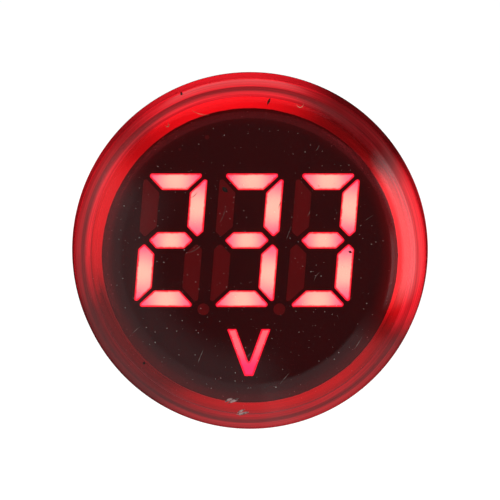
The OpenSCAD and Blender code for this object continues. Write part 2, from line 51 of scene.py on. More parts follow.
# %% [markdown]
# The meter is a stack of turned pieces on one axis. A maker thinks in "how far out from the panel" and
# "how far from the axis", so every size below is in millimetres, with `out` towards the reader of the
# display and `up` along the digits. One small function turns that into the frame's own directions.

# %% Sizes that the pieces share
TURN_STEPS = 192

RIM_R, SIDE_R, CAVITY_R = 14.5, 14.25, 13.1          # lens
LENS_FOOT, LENS_TOP, CAVITY_TOP = 4.5, 12.0, 10.5
SHOULDER_R, DOME_R = 3.3, 137.0
FACE_R, FACE_BACK, FACE_FRONT = 11.85, 9.6, 9.9      # black face
NECK_R, THREAD_R, FLAT_X, TAIL_R, BORE_R = 11.0, 10.9, 10.2, 10.0, 8.9      # housing
NECK_BACK, RELIEF_BACK, TAIL_FRONT, TAIL_BACK = -1.5, -2.3, -21.3, -28.8
COLLAR_BACK, BLOCK_BACK = -30.8, -37.8


def at(x, up, out):
    """A point of the meter, from millimetres along its own axes to metres in the frame."""
    return Vector((x * MM, -out * MM, up * MM))


def around(r, angle, out):
    """A point of the meter at a radius and an angle round the axis."""
    return at(r * math.cos(angle), r * math.sin(angle), out)


def arc(cx, cy, r, start, end, steps):
    """Points of an arc, with the angles in degrees."""
    return [(cx + r * math.cos(math.radians(start + (end - start) * i / steps)),
             cy + r * math.sin(math.radians(start + (end - start) * i / steps))) for i in range(steps + 1)]


# %% [markdown]
# Three ways of making cover almost every piece: turning a profile on the axis, cutting one solid out of
# another, and breaking the sharp edges that neither a mould nor a press would leave.

# %% Turning, cutting and edge-breaking
def finished(name, mesh, sharp=30):
    """Makes a piece from a mesh: outward faces, smooth where it curves and crisp where it turns a corner."""
    bm = bmesh.new()
    bm.from_mesh(mesh)
    bmesh.ops.remove_doubles(bm, verts=bm.verts, dist=0.0004 * MM)
    bmesh.ops.recalc_face_normals(bm, faces=bm.faces)
    bm.to_mesh(mesh)
    bm.free()
    mesh.shade_smooth()
    mesh.set_sharp_from_angle(angle=math.radians(sharp))
    obj = bpy.data.objects.new(name, mesh)
    bpy.context.scene.collection.objects.link(obj)
    return obj


def turned(name, profile, steps=TURN_STEPS, shape=None, sharp=30, closed=True):
    """Turns a closed profile of (radius, out) round the axis; `shape` may change the radius."""
    verts, rows = [], []
    for r, out in profile:
        if r < 1e-6:
            rows.append([len(verts)] * steps)
            verts.append(at(0, 0, out))
            continue
        rows.append(list(range(len(verts), len(verts) + steps)))
        for i in range(steps):
            angle = 2 * math.pi * i / steps
            verts.append(around(shape(r, angle, out) if shape else r, angle, out))
    faces = []
    for k in range(len(rows) if closed else len(rows) - 1):
        a, b = rows[k], rows[(k + 1) % len(rows)]
        for i in range(steps):
            j = (i + 1) % steps
            ring = [a[i], a[j], b[j], b[i]]
            face = [v for n, v in enumerate(ring) if v not in ring[:n]]
            if len(face) > 2:
                faces.append(face)
    mesh = bpy.data.meshes.new(name)
    mesh.from_pydata(verts, [], faces)
    return finished(name, mesh, sharp)


def block(name, size, centre):
    """A box of (x, up, out) millimetres round a centre."""
    mesh = bpy.data.meshes.new(name)
    corners = [at(centre[0] + sx * size[0] / 2, centre[1] + sy * size[1] / 2, centre[2] + sz * size[2] / 2)
               for sx in (-1, 1) for sy in (-1, 1) for sz in (-1, 1)]
    mesh.from_pydata(corners, [], [(0, 1, 3, 2), (4, 6, 7, 5), (0, 4, 5, 1), (2, 3, 7, 6), (0, 2, 6, 4),
                                   (1, 5, 7, 3)])
    return finished(name, mesh)


def prism(name, points, back, front, taper=1.0):
    """A flat outline of (x, up) drawn out from `back` to `front`, narrowing to `taper` of its size."""
    n = len(points)
    cx, cy = sum(x for x, _ in points) / n, sum(y for _, y in points) / n
    end = [(cx + (x - cx) * taper, cy + (y - cy) * taper) for x, y in points]
    mesh = bpy.data.meshes.new(name)
    mesh.from_pydata([at(x, y, back) for x, y in points] + [at(x, y, front) for x, y in end], [],
                     [tuple(range(n)), tuple(range(2 * n - 1, n - 1, -1))]
                     + [(i, (i + 1) % n, n + (i + 1) % n, n + i) for i in range(n)])
    return finished(name, mesh)


def settled(obj, sharp=30):
    """Applies a piece's modifiers, and drops them."""
    mesh = bpy.data.meshes.new_from_object(obj.evaluated_get(bpy.context.evaluated_depsgraph_get()))
    obj.modifiers.clear()
    obj.data = mesh
    mesh.shade_smooth()
    mesh.set_sharp_from_angle(angle=math.radians(sharp))
    return obj


def combined(obj, others, how="DIFFERENCE"):
    """Cuts the others out of a piece, adds them to it or keeps what they share."""
    for other in others:
        step = obj.modifiers.new(how, "BOOLEAN")
        step.operation, step.solver, step.object = how, "EXACT", other
    settled(obj)
    for other in others:
        bpy.data.objects.remove(other)
    return obj


def softened(obj, width, segments=2, angle=40):
    """Breaks the sharp edges by `width` millimetres."""
    step = obj.modifiers.new("edges", "BEVEL")
    step.width, step.segments = width * MM, segments
    step.limit_method, step.angle_limit = "ANGLE", math.radians(angle)
    step.use_clamp_overlap = True
    return settled(obj, 35)


def placed(obj, body, slot, material, *nodes):
    """Hands a finished piece to the frame: its finish, the body it moves with, and what it stands for."""
    obj.data.materials.clear()
    for one in material if isinstance(material, list) else [material]:
        obj.data.materials.append(one)
    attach(obj, body)
    if nodes:
        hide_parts(*nodes)
    print(f"{obj.name}: {len(obj.data.polygons)} faces, on {body}")
    return obj


# %% [markdown]
# Every finish is built from nodes, so it holds up as near as anyone looks. Three things turn up on nearly
# all of them: moulding grain, fine handling scratches and settled dust. Each is one shared group that gives
# a mask or a normal, and each finish decides what to do with it.

# %% Node helpers and the shared groups
NODE_ROWS, NODE_STEP = 6, 240       # new nodes are laid out in columns of six


def wire(tree, kind, links=None, **values):
    """Adds a node, sets its properties, and feeds its inputs from {input: value or output}."""
    node = tree.nodes.new(kind)
    column, row = divmod(len(tree.nodes), NODE_ROWS)
    node.location = (column * NODE_STEP, -row * NODE_STEP)
    for key, value in values.items():
        setattr(node, key, value)
    for key, value in (links or {}).items():
        if isinstance(value, bpy.types.NodeSocket):
            tree.links.new(value, node.inputs[key])
        else:
            node.inputs[key].default_value = value
    return node


def shared(name, ins, outs):
    """A new node group with its input and output sockets."""
    group = bpy.data.node_groups.new(name, "ShaderNodeTree")
    for label, kind, default in ins:
        socket = group.interface.new_socket(name=label, in_out="INPUT", socket_type=kind)
        if default is not None:
            socket.default_value = default
    for label, kind in outs:
        group.interface.new_socket(name=label, in_out="OUTPUT", socket_type=kind)
    return group, wire(group, "NodeGroupInput"), wire(group, "NodeGroupOutput")


def calc(tree, operation, a, b=0.0, clamp=False):
    """The result of a Math node."""
    node = wire(tree, "ShaderNodeMath", {0: a, 1: b}, operation=operation, use_clamp=clamp)
    return node.outputs[0]


def times(tree, a, b):
    """One value times another."""
    return calc(tree, "MULTIPLY", a, b)


def plus(tree, a, b):
    """One value plus another."""
    return calc(tree, "ADD", a, b)


def feed(node, socket, value):
    """Links a value to one of a node's inputs."""
    node.id_data.links.new(value, node.inputs[socket])


def blended(tree, factor, a, b, kind="MIX"):
    """A colour between a and b."""
    node = wire(tree, "ShaderNodeMix", {0: factor, 6: a, 7: b}, data_type="RGBA", blend_type=kind)
    return node.outputs[2]


def noise(tree, where, scale, detail):
    """Soft noise at a place, from 0 to 1 and mostly near 0.5."""
    node = wire(tree, "ShaderNodeTexNoise", {"Vector": where, "Scale": scale, "Detail": detail})
    return node.outputs[0]


def from_axis(tree, split):
    """Distance from the meter's axis, in metres, of a place split into its three parts."""
    squares = [times(tree, split.outputs[k], split.outputs[k]) for k in (0, 2)]
    return calc(tree, "SQRT", calc(tree, "ADD", *squares))


def ramped(tree, value, low, high, to_low=0.0, to_high=1.0, smooth=True):
    """A value carried from one range to another, eased at both ends."""
    node = wire(tree, "ShaderNodeMapRange", {0: value, 1: low, 2: high, 3: to_low, 4: to_high},
                interpolation_type="SMOOTHSTEP" if smooth else "LINEAR")
    return node.outputs[0]


def grain_group():
    """Moulding grain: a normal, and the height that made it."""
    g, i, o = shared("moulding_grain",
                     [("Vector", "NodeSocketVector", None), ("Size mm", "NodeSocketFloat", 0.3),
                      ("Depth", "NodeSocketFloat", 0.2)],
                     [("Normal", "NodeSocketVector"), ("Height", "NodeSocketFloat")])
    scale = calc(g, "DIVIDE", 1 / MM, i.outputs["Size mm"])
    fine = wire(g, "ShaderNodeTexNoise", {"Vector": i.outputs["Vector"], "Scale": scale, "Detail": 3.0,
                                          "Roughness": 0.6})
    bump = wire(g, "ShaderNodeBump", {"Strength": i.outputs["Depth"], "Distance": 0.02 * MM,
                                      "Height": fine.outputs[0]})
    g.links.new(bump.outputs[0], o.inputs["Normal"])
    g.links.new(fine.outputs[0], o.inputs["Height"])
    return g


def scratch_group():
    """Fine straight handling scratches, as a mask."""
    g, i, o = shared("handling_scratches",
                     [("Vector", "NodeSocketVector", None), ("Density", "NodeSocketFloat", 0.5)],
                     [("Mask", "NodeSocketFloat")])
    total = None
    for n, (turn, stretch, seed) in enumerate([(0.4, 9.0, 1.3), (1.9, 13.0, 4.1), (2.7, 7.0, 8.6)]):
        m = wire(g, "ShaderNodeMapping", {"Vector": i.outputs["Vector"], "Rotation": (0, turn, 0.3 * n),
                                          "Location": (seed, seed, seed),
                                          "Scale": (60 * stretch, 60 * stretch, 60.0)})
        t = wire(g, "ShaderNodeTexNoise", {"Vector": m.outputs[0], "Scale": 6.0, "Detail": 1.0})
        line = calc(g, "ABSOLUTE", calc(g, "SUBTRACT", t.outputs[0], 0.5))
        thin = ramped(g, line, 0.0, 0.006, 1.0, 0.0)
        patch = wire(g, "ShaderNodeTexNoise", {"Vector": i.outputs["Vector"], "Scale": 170.0 + 50 * n,
                                               "Detail": 1.0})
        keep = ramped(g, plus(g, patch.outputs[0], times(g, i.outputs["Density"], 0.2)), 0.62, 0.72)
        one = times(g, thin, keep)
        total = one if total is None else calc(g, "MAXIMUM", total, one)
    g.links.new(total, o.inputs["Mask"])
    return g


def dust_group():
    """Settled dust: small round specks, thicker in patches."""
    g, i, o = shared("settled_dust",
                     [("Vector", "NodeSocketVector", None), ("Spacing mm", "NodeSocketFloat", 0.6),
                      ("Amount", "NodeSocketFloat", 0.5)], [("Mask", "NodeSocketFloat")])
    scale = calc(g, "DIVIDE", 1 / MM, i.outputs["Spacing mm"])
    cells = wire(g, "ShaderNodeTexVoronoi", {"Vector": i.outputs["Vector"], "Scale": scale})
    pick = wire(g, "ShaderNodeSeparateColor", {0: cells.outputs["Color"]})
    reach = times(g, pick.outputs[0], 0.13)
    speck = ramped(g, calc(g, "SUBTRACT", reach, cells.outputs["Distance"]), 0.0, 0.05)
    keep = calc(g, "LESS_THAN", pick.outputs[1], i.outputs["Amount"])
    g.links.new(times(g, speck, keep), o.inputs["Mask"])
    return g


# where the painted light round the display comes up, one patch towards each studio lamp: middle, half width
# and softness, in degrees anticlockwise from the right as one faces the display
PAINTED_GLOWS = {"right": (3, 20, 15), "top": (100, 22, 20), "left": (164, 18, 17), "low": (285, 28, 24)}
# each zone's level of painted light between the glows, then its level in each of them
ZONE_PAINTED_LIGHT = {"Brim": (0.04, 0.8, 0.2, 0.25, 0.08), "Wall": (0.12, 0.95, 1.3, 0.7, 0.5),
              "Bend": (0.08, 1.1, 0.8, 0.35, 0.4), "Groove": (0.03, 0.8, 0.2, 0.15, 0.1),
              "Corner": (0.08, 0.9, 0.7, 0.6, 0.3)}


def painted_glow_group():
    """How strongly the painted light round the display shines in each zone of the cap, by the angle: brighter
    towards each lamp.
    """
    g, i, o = shared("painted_ring_light", [("Vector", "NodeSocketVector", None)],
                     [(zone, "NodeSocketFloat") for zone in ZONE_PAINTED_LIGHT])
    split = wire(g, "ShaderNodeSeparateXYZ", {0: i.outputs["Vector"]})
    turn = calc(g, "ARCTAN2", split.outputs[2], split.outputs[0])
    wobble = noise(g, i.outputs["Vector"], 160.0, 2.0)
    turn = plus(g, turn, times(g, calc(g, "SUBTRACT", wobble, 0.5), 0.3))
    shares = []
    for middle, half, soft in PAINTED_GLOWS.values():
        facing = calc(g, "COSINE", calc(g, "SUBTRACT", turn, math.radians(middle)), 0.0)
        shares.append(ramped(g, facing, math.cos(math.radians(half + soft)),
                             math.cos(math.radians(half - soft))))
    for zone, (dim, *levels) in ZONE_PAINTED_LIGHT.items():
        light = dim
        for share, level in zip(shares, levels):
            light = plus(g, times(g, share, level), light)
        g.links.new(light, o.inputs[zone])
    return g


GRAIN, SCRATCHES, DUST, PAINTED_RING_LIGHT = grain_group(), scratch_group(), dust_group(), painted_glow_group()


def use(tree, group, links):
    """Puts a shared group in a material's tree."""
    return wire(tree, "ShaderNodeGroup", links, node_tree=group)


def grain_at(tree, where, size, depth):
    """Moulding grain at a place, with its size in millimetres."""
    return use(tree, GRAIN, {"Vector": where, "Size mm": size, "Depth": depth})


def dust_at(tree, where, spacing, amount):
    """Settled dust at a place, with its spacing in millimetres."""
    return use(tree, DUST, {"Vector": where, "Spacing mm": spacing, "Amount": amount})


def scratches_at(tree, where, density):
    """Handling scratches at a place."""
    return use(tree, SCRATCHES, {"Vector": where, "Density": density})


def finish(name, **fixed):
    """A new material: its tree, its Principled node with the fixed values set, and the place on the piece."""
    material = bpy.data.materials.new(name)
    material.use_nodes = True
    tree = material.node_tree
    p = tree.nodes["Principled BSDF"]
    for key, value in fixed.items():
        p.inputs[key.replace("_", " ")].default_value = value
    where = wire(tree, "ShaderNodeTexCoord").outputs["Object"]
    return material, tree, p, where


print("shared groups:", [g.name for g in bpy.data.node_groups])

# %% [markdown]
# ## The display
# The digits are windows printed clear in a black face. Behind each window is a well in a white block, filled
# with a milky diffuser, and one LED chip at the bottom. The segments lean a few degrees, their tips are
# mitred, and ink and moulding both round the corners, so the outlines are drawn sharp and then rounded.

# %% Segment outlines
DIGIT_H, DIGIT_W, PITCH, STROKE, GAP, SLANT = 10.7, 5.1, 6.07, 1.33, 0.29, math.radians(4.6)
DIGITS_X, DIGITS_RISE = -0.25, 1.29
HALF_W, HALF_H = DIGIT_W / 2, DIGIT_H / 2
BLUNT, WAIST, WAIST_IN, WAIST_SLOPE, MIDDLE_IN = 0.25, 0.27, 0.47, 0.95, 0.77
POINT_R = 0.475
LETTER_X, LETTER_TOP, LETTER_H, LETTER_W, LETTER_STROKE = -0.09, -5.83, 3.8, 3.5, 0.75


def bar():
    """The top segment."""
    e, low = HALF_W - GAP / math.sqrt(2), HALF_H - STROKE
    return [(-e + 1.3 * BLUNT, HALF_H), (e - 1.3 * BLUNT, HALF_H), (e - BLUNT, HALF_H - BLUNT),
            (e - STROKE, low), (-e + STROKE, low), (-e + BLUNT, HALF_H - BLUNT)]


def upright():
    """The upper right segment."""
    top, inner = HALF_H - GAP / math.sqrt(2), HALF_W - STROKE
    return [(HALF_W, top - 1.3 * BLUNT), (HALF_W - BLUNT, top - BLUNT), (inner, top - STROKE),
            (inner, WAIST + (STROKE - WAIST_IN) * WAIST_SLOPE), (HALF_W - WAIST_IN, WAIST),
            (HALF_W, WAIST + WAIST_IN * WAIST_SLOPE)]


def middle():
    """The middle segment."""
    e, half = HALF_W - MIDDLE_IN, STROKE / 2
    return [(-e, 0), (-e + half, half), (e - half, half), (e, 0), (e - half, -half), (-e + half, -half)]


def mirrored(points, x=1, y=1):
    """An outline mirrored where x or y is -1."""
    return [(px * x, py * y) for px, py in points]


SEGMENTS = {"a": bar(), "b": upright(), "c": mirrored(upright(), y=-1), "d": mirrored(bar(), y=-1),
            "e": mirrored(upright(), -1, -1), "f": mirrored(upright(), -1), "g": middle()}
LIT = ["abged", "abgcd", "abgcd"]


def rounded(points, radius, steps=5):
    """Rounds every corner of an outline, less where its sides are short."""
    result, n = [], len(points)
    for i in range(n):
        p, q, r = (Vector(points[k % n]) for k in (i - 1, i, i + 1))
        a, b = (p - q), (r - q)
        half = a.angle(b) / 2
        reach = min(radius / math.tan(half), a.length * 0.48, b.length * 0.48)
        start, end = q + a.normalized() * reach, q + b.normalized() * reach
        for s in range(steps + 1):
            t = s / steps
            result.append(tuple(start * (1 - t) ** 2 + q * 2 * t * (1 - t) + end * t * t))
    return result


def segment(index, name):
    """One segment of one digit, leant over and with its corners rounded."""
    cx, cy = DIGITS_X + (index - 1) * PITCH, DIGITS_RISE
    return [(cx + x + y * math.tan(SLANT), cy + y) for x, y in rounded(SEGMENTS[name], 0.2)]


def disc(cx, cy, r, n):
    """A round outline."""
    return [(cx + r * math.cos(2 * math.pi * i / n),
             cy + r * math.sin(2 * math.pi * i / n)) for i in range(n)]


def decimal_point(index):
    """The round outline of the point after a digit."""
    cx = DIGITS_X + (index - 1) * PITCH + HALF_W - HALF_H * math.tan(SLANT) + POINT_R
    return disc(cx, DIGITS_RISE - HALF_H - 0.18, POINT_R, 32)


def letter():
    """The letter V of the unit."""
    foot, half, toe = LETTER_TOP - LETTER_H, LETTER_W / 2, LETTER_STROKE * 0.46
    return rounded([(LETTER_X - half, LETTER_TOP), (LETTER_X - half + LETTER_STROKE, LETTER_TOP),
                    (LETTER_X, foot + LETTER_STROKE * 1.35), (LETTER_X + half - LETTER_STROKE, LETTER_TOP),
                    (LETTER_X + half, LETTER_TOP), (LETTER_X + toe, foot), (LETTER_X - toe, foot)], 0.1)


WINDOWS = ([segment(i, s) for i in range(3) for s in "abcdefg"] + [decimal_point(0), decimal_point(1),
        letter()])
print("windows in the face:", len(WINDOWS))

# %% [markdown]
# A fill glows unevenly: it is brightest over the chip in its middle, cooler towards its tips, and a thin line
# of deeper red runs round it where light creeps under the edge of the ink. So each fill carries two values
# on its surface, the distance to its rim in millimetres and how far along it a point is.

# %% Fills with their rim and run
def rim_distance(p, outline):
    """Distance from a point to an outline."""
    best = 1e9
    for i in range(len(outline)):
        a, b = outline[i - 1], outline[i]
        dx, dy = b[0] - a[0], b[1] - a[1]
        t = max(0.0, min(1.0, ((p[0] - a[0]) * dx + (p[1] - a[1]) * dy) / max(dx * dx + dy * dy, 1e-12)))
        best = min(best, math.hypot(p[0] - a[0] - t * dx, p[1] - a[1] - t * dy))
    return best


def inside(p, outline):
    """Whether a point lies inside an outline."""
    hit = False
    for i in range(len(outline)):
        (x1, y1), (x2, y2) = outline[i - 1], outline[i]
        if (y1 > p[1]) != (y2 > p[1]) and p[0] < (x2 - x1) * (p[1] - y1) / (y2 - y1) + x1:
            hit = not hit
    return hit


def fill_points(outline, spacing=0.16):
    """Points inside an outline: a row close to the rim, and an even field over the rest."""
    points, n = [], len(outline)
    for inset in (0.05, 0.1, 0.17):
        for i in range(n):
            a, b = Vector(outline[i - 1]), Vector(outline[i])
            if (b - a).length < 1e-6:
                continue
            steps = max(1, round((b - a).length / 0.1))
            side = Vector((-(b - a).y, (b - a).x)).normalized()
            for s in range(steps):
                m = a + (b - a) * (s + 0.5) / steps
                for q in (m + side * inset, m - side * inset):
                    if inside(q, outline) and abs(rim_distance(q, outline) - inset) < 0.01:
                        points.append(tuple(q))
    xs, ys = [p[0] for p in outline], [p[1] for p in outline]
    y = min(ys)
    while y < max(ys):
        x = min(xs)
        while x < max(xs):
            if inside((x, y), outline) and rim_distance((x, y), outline) > 0.24:
                points.append((x, y))
            x += spacing
        y += spacing
    return points


def fills(name, outlines, depth, taper):
    """Diffuser fills: a finely divided front, and sides that narrow down into the block."""
    verts, faces, rim, run = [], [], [], []
    front = FACE_FRONT - 0.02
    for outline in outlines:
        n = len(outline)
        cx, cy = sum(p[0] for p in outline) / n, sum(p[1] for p in outline) / n
        reach = max(math.hypot(p[0] - cx, p[1] - cy) for p in outline)
        cloud = list(outline) + fill_points(outline)
        made, _, tris, _, _, _ = delaunay_2d_cdt([Vector(p) for p in cloud],
                                                 [(i, (i + 1) % n) for i in range(n)], [], 1, 1e-5)
        base = len(verts)
        for p in made:
            verts.append(at(p.x, p.y, front))
            rim.append(rim_distance(p, outline))
            run.append(math.hypot(p.x - cx, p.y - cy) / reach)
        faces += [tuple(base + i for i in t) for t in tris]
        # the sides share the outline's own points, which come first
        low = len(verts)
        for x, y in outline:
            verts.append(at(cx + (x - cx) * taper, cy + (y - cy) * taper, FACE_BACK - depth))
            rim.append(0.0)
            run.append(1.0)
        faces += [(base + i, base + (i + 1) % n, low + (i + 1) % n, low + i) for i in range(n)]
        faces.append(tuple(range(low, low + n)))
    mesh = bpy.data.meshes.new(name)
    mesh.from_pydata(verts, [], faces)
    for label, values in (("rim_mm", rim), ("run", run)):
        mesh.attributes.new(label, "FLOAT", "POINT").data.foreach_set("value", values)
    bm = bmesh.new()
    bm.from_mesh(mesh)
    bmesh.ops.recalc_face_normals(bm, faces=bm.faces)
    bm.to_mesh(mesh)
    bm.free()
    obj = bpy.data.objects.new(name, mesh)
    bpy.context.scene.collection.objects.link(obj)
    return obj


# %% [markdown]
# The fills are a milky epoxy. What they give off is amber-white LED light; the red lens in front turns it
# into the peach and pink that reach the eye. The colours here are therefore of the light before the lens.

# %% Lit and dark fills
def lit_material(name, centre, tip, edge, strength, down=False):
    """A glowing fill, from its middle out or from its top down, with a red edge."""
    material, t, p, where = finish(name, Roughness=0.45, Emission_Strength=strength)
    rim = wire(t, "ShaderNodeAttribute", attribute_name="rim_mm").outputs["Fac"]
    run = wire(t, "ShaderNodeAttribute", attribute_name="run").outputs["Fac"]
    if down:
        split = wire(t, "ShaderNodeSeparateXYZ", {0: where})
        run = ramped(t, split.outputs[2], (LETTER_TOP - LETTER_H) * MM, (LETTER_TOP - 0.4) * MM, 1.0, 0.0)
    cloud = noise(t, where, 900.0, 2.0)
    along = ramped(t, plus(t, run, times(t, calc(t, "SUBTRACT", cloud, 0.5), 0.16)), 0.1, 1.0)
    body = blended(t, along, centre, tip)
    # the print's edge is a little ragged
    ragged = noise(t, where, 4200.0, 3.0)
    rim = plus(t, rim, times(t, calc(t, "SUBTRACT", ragged, 0.5), 0.16))
    glow = blended(t, ramped(t, rim, 0.05, 0.19), edge, body)
    specks = dust_at(t, where, 0.55, 0.16)
    glow = blended(t, times(t, specks.outputs[0], 0.75), glow, (0.25, 0.02, 0.03, 1))
    feed(p, "Emission Color", glow)
    feed(p, "Base Color", blended(t, cloud, (0.5, 0.46, 0.44, 1), (0.62, 0.58, 0.55, 1)))
    return material


def dark_material():
    """An unlit fill, milky and a little dusty."""
    material, t, p, where = finish("unlit_fill", Roughness=0.5)
    cloud = noise(t, where, 700.0, 3.0)
    rim = wire(t, "ShaderNodeAttribute", attribute_name="rim_mm").outputs["Fac"]
    milky = blended(t, cloud, (0.17, 0.15, 0.15, 1), (0.22, 0.19, 0.19, 1))
    specks = dust_at(t, where, 0.5, 0.25)
    feed(p, "Base Color", blended(t, specks.outputs[0],
                                  blended(t, ramped(t, rim, 0.0, 0.12), (0.2, 0.15, 0.15, 1), milky),
                                  (0.03, 0.02, 0.02, 1)))
    grain = grain_at(t, where, 0.2, 0.3)
    feed(p, "Normal", grain.outputs[0])
    return material


LIT_FILL = lit_material("lit_fill", (0.24, 1.0, 0.63, 1), (0.24, 0.20, 0.35, 1), (0.23, 0.0, 0.03, 1), 6.7)
LETTER_FILL = lit_material("lit_letter_fill", (0.24, 0.28, 0.28, 1), (0.24, 0.05, 0.22, 1),
                           (0.23, 0.0, 0.04, 1), 6.7, down=True)
DARK_FILL = dark_material()

for index, digit in enumerate(["hundreds", "tens", "units"]):
    on = [segment(index, s) for s in "abcdefg" if s in LIT[index]]
    off = [segment(index, s) for s in "abcdefg" if s not in LIT[index]]
    placed(fills(digit + "_glow", on, 2.4, 0.72), "meter", "lit_segment", LIT_FILL, digit + "_lit")
    placed(fills(digit + "_off", off, 2.4, 0.72), "meter", "dark_segment", DARK_FILL, digit + "_dark")
placed(fills("points_off", [decimal_point(0), decimal_point(1)], 2.4, 1.0), "meter", "dark_segment",
       DARK_FILL, "decimal_points")
placed(fills("letter_glow", [letter()], 2.4, 0.9), "meter", "lit_letter", LETTER_FILL, "unit_letter")

# %% [markdown]
# The face is satin black ink on a thin film, punched out by the windows. Up close the ink has an orange-peel
# texture and a few pinholes. The block behind it is white polycarbonate, which throws every bit of stray
# light forward. The ring round the face is the same white block seen past the ink, and its glow is painted
# light: an emission on the block, uneven round the axis where the studio lamps would light it.

# %% Face and reflector block
def plate(name, outer, windows, back, front, edge=0.0):
    """A flat piece with windows, drawn as one filled curve."""
    curve = bpy.data.curves.new(name, "CURVE")
    curve.dimensions, curve.fill_mode = "2D", "BOTH"
    curve.extrude = (front - back) / 2 * MM - edge * MM
    curve.bevel_depth, curve.bevel_resolution = edge * MM, 1
    curve.offset = -edge * MM
    for outline in [outer] + windows:
        line = curve.splines.new("POLY")
        line.points.add(len(outline) - 1)
        for point, (x, y) in zip(line.points, outline):
            point.co = (x * MM, y * MM, 0, 1)
        line.use_cyclic_u = True
    helper = bpy.data.objects.new(name + "_outline", curve)
    bpy.context.scene.collection.objects.link(helper)
    mesh = bpy.data.meshes.new_from_object(helper.evaluated_get(bpy.context.evaluated_depsgraph_get()))
    bpy.data.objects.remove(helper)
    for v in mesh.vertices:
        v.co = (v.co.x, -(v.co.z + (front + back) / 2 * MM), v.co.y)
    mesh.materials.clear()
    return finished(name, mesh, 30)


def ink_material():
    """Satin black ink with an orange-peel texture and pinholes, and a painted red glow near its outer edge.
    """
    material, t, p, where = finish("face_ink", Roughness=0.3, IOR=1.5)
    peel = grain_at(t, where, 0.35, 0.25)
    holes = dust_at(t, where, 1.7, 0.3)
    cloud = noise(t, where, 260.0, 3.0)
    ink = blended(t, cloud, (0.034, 0.030, 0.030, 1), (0.046, 0.040, 0.040, 1))
    feed(p, "Base Color", blended(t, times(t, holes.outputs[0], 0.5), ink, (0.2, 0.12, 0.1, 1)))
    feed(p, "Normal", peel.outputs[0])
    # painted light: a red glow on the ink near its outer edge, standing in for the ring's light spilling over
    # the print, uneven round the axis like the painted ring light
    split = wire(t, "ShaderNodeSeparateXYZ", {0: where})
    radius = from_axis(t, split)
    painted_brim_light = use(t, PAINTED_RING_LIGHT, {"Vector": where}).outputs["Brim"]
    level = calc(t, "MAXIMUM", plus(t, times(t, painted_brim_light, 0.11), 0.012), 0.036)
    level = times(t, level, ramped(t, radius, 0.0102, 0.0119))
    feed(p, "Emission Color", blended(t, 1.0, (1, 0.05, 0.07, 1), level, kind="MULTIPLY"))
    p.inputs["Emission Strength"].default_value = 1.0
    return material


def white_material():
    """White polycarbonate with a painted red glow: the chips' light leaking through, made uneven round the
    axis by painted lamp light.
    """
    material, t, p, where = finish("white_moulding", Roughness=0.5, IOR=1.58, Emission_Strength=1.0)
    cloud = noise(t, where, 180.0, 3.0)
    grain = grain_at(t, where, 0.25, 0.2)
    dust = dust_at(t, where, 0.9, 0.3)
    white = blended(t, cloud, (0.80, 0.79, 0.76, 1), (0.86, 0.85, 0.82, 1))
    feed(p, "Base Color", blended(t, times(t, dust.outputs[0], 0.5), white, (0.35, 0.3, 0.28, 1)))
    feed(p, "Normal", grain.outputs[0])
    # the plastic is thin enough for the chips' red light to leak through it; that glow is painted as
    # emission, and its rise and fall round the axis is painted lamp light
    leak_and_painted_lamp_light = blended(t, cloud, (0.85, 0.02, 0.05, 1), (1.05, 0.03, 0.06, 1))
    shares = use(t, PAINTED_RING_LIGHT, {"Vector": where})
    feed(p, "Emission Color", blended(t, 1.0, leak_and_painted_lamp_light, shares.outputs["Brim"], kind="MULTIPLY"))
    return material


def ragged_disc(r, n, seed, depth):
    """A round edge as a squeegee leaves it: true on the whole, with small nicks."""
    rng, offset, result = random.Random(seed), 0.0, []
    for i in range(n):
        offset = 0.8 * offset + rng.uniform(0, depth) * 0.5
        edge = r - min(offset, 2 * depth)
        result.append((edge * math.cos(2 * math.pi * i / n), edge * math.sin(2 * math.pi * i / n)))
    return result


WHITE = white_material()
placed(plate("black_face", ragged_disc(FACE_R, 420, 5, 0.035), WINDOWS, FACE_BACK, FACE_FRONT), "meter",
       "face_print", ink_material(), "face_mask")

wells = plate("well_block", disc(0, 0, FACE_R - 0.01, 192), WINDOWS, 3.8, FACE_BACK - 0.002)
skirt = turned("skirt", [(9.0, 3.8), (12.0, 3.8), (12.0, 4.5), (13.02, 4.5), (13.02, 4.9), (12.72, 5.2),
                         (FACE_R, 5.2), (FACE_R, FACE_BACK - 0.002), (11.6, FACE_BACK - 0.002), (11.6, 5.0),
                         (9.0, 5.0)])
bm = bmesh.new()
bm.from_mesh(wells.data)
bm.from_mesh(skirt.data)
bm.to_mesh(wells.data)
bm.free()
bpy.data.objects.remove(skirt)
placed(wells, "meter", "white_moulding", WHITE, "reflector")

# %% [markdown]
# ## The lens
# One cap of red-tinted polycarbonate, turned here from the same profile that the mould would be cut to: a
# straight rim, a side that leans in, a generous shoulder and a front that is very slightly domed. It is
# solid glass-clear plastic with its colour in the material, so it has a real thickness for light to bend in.

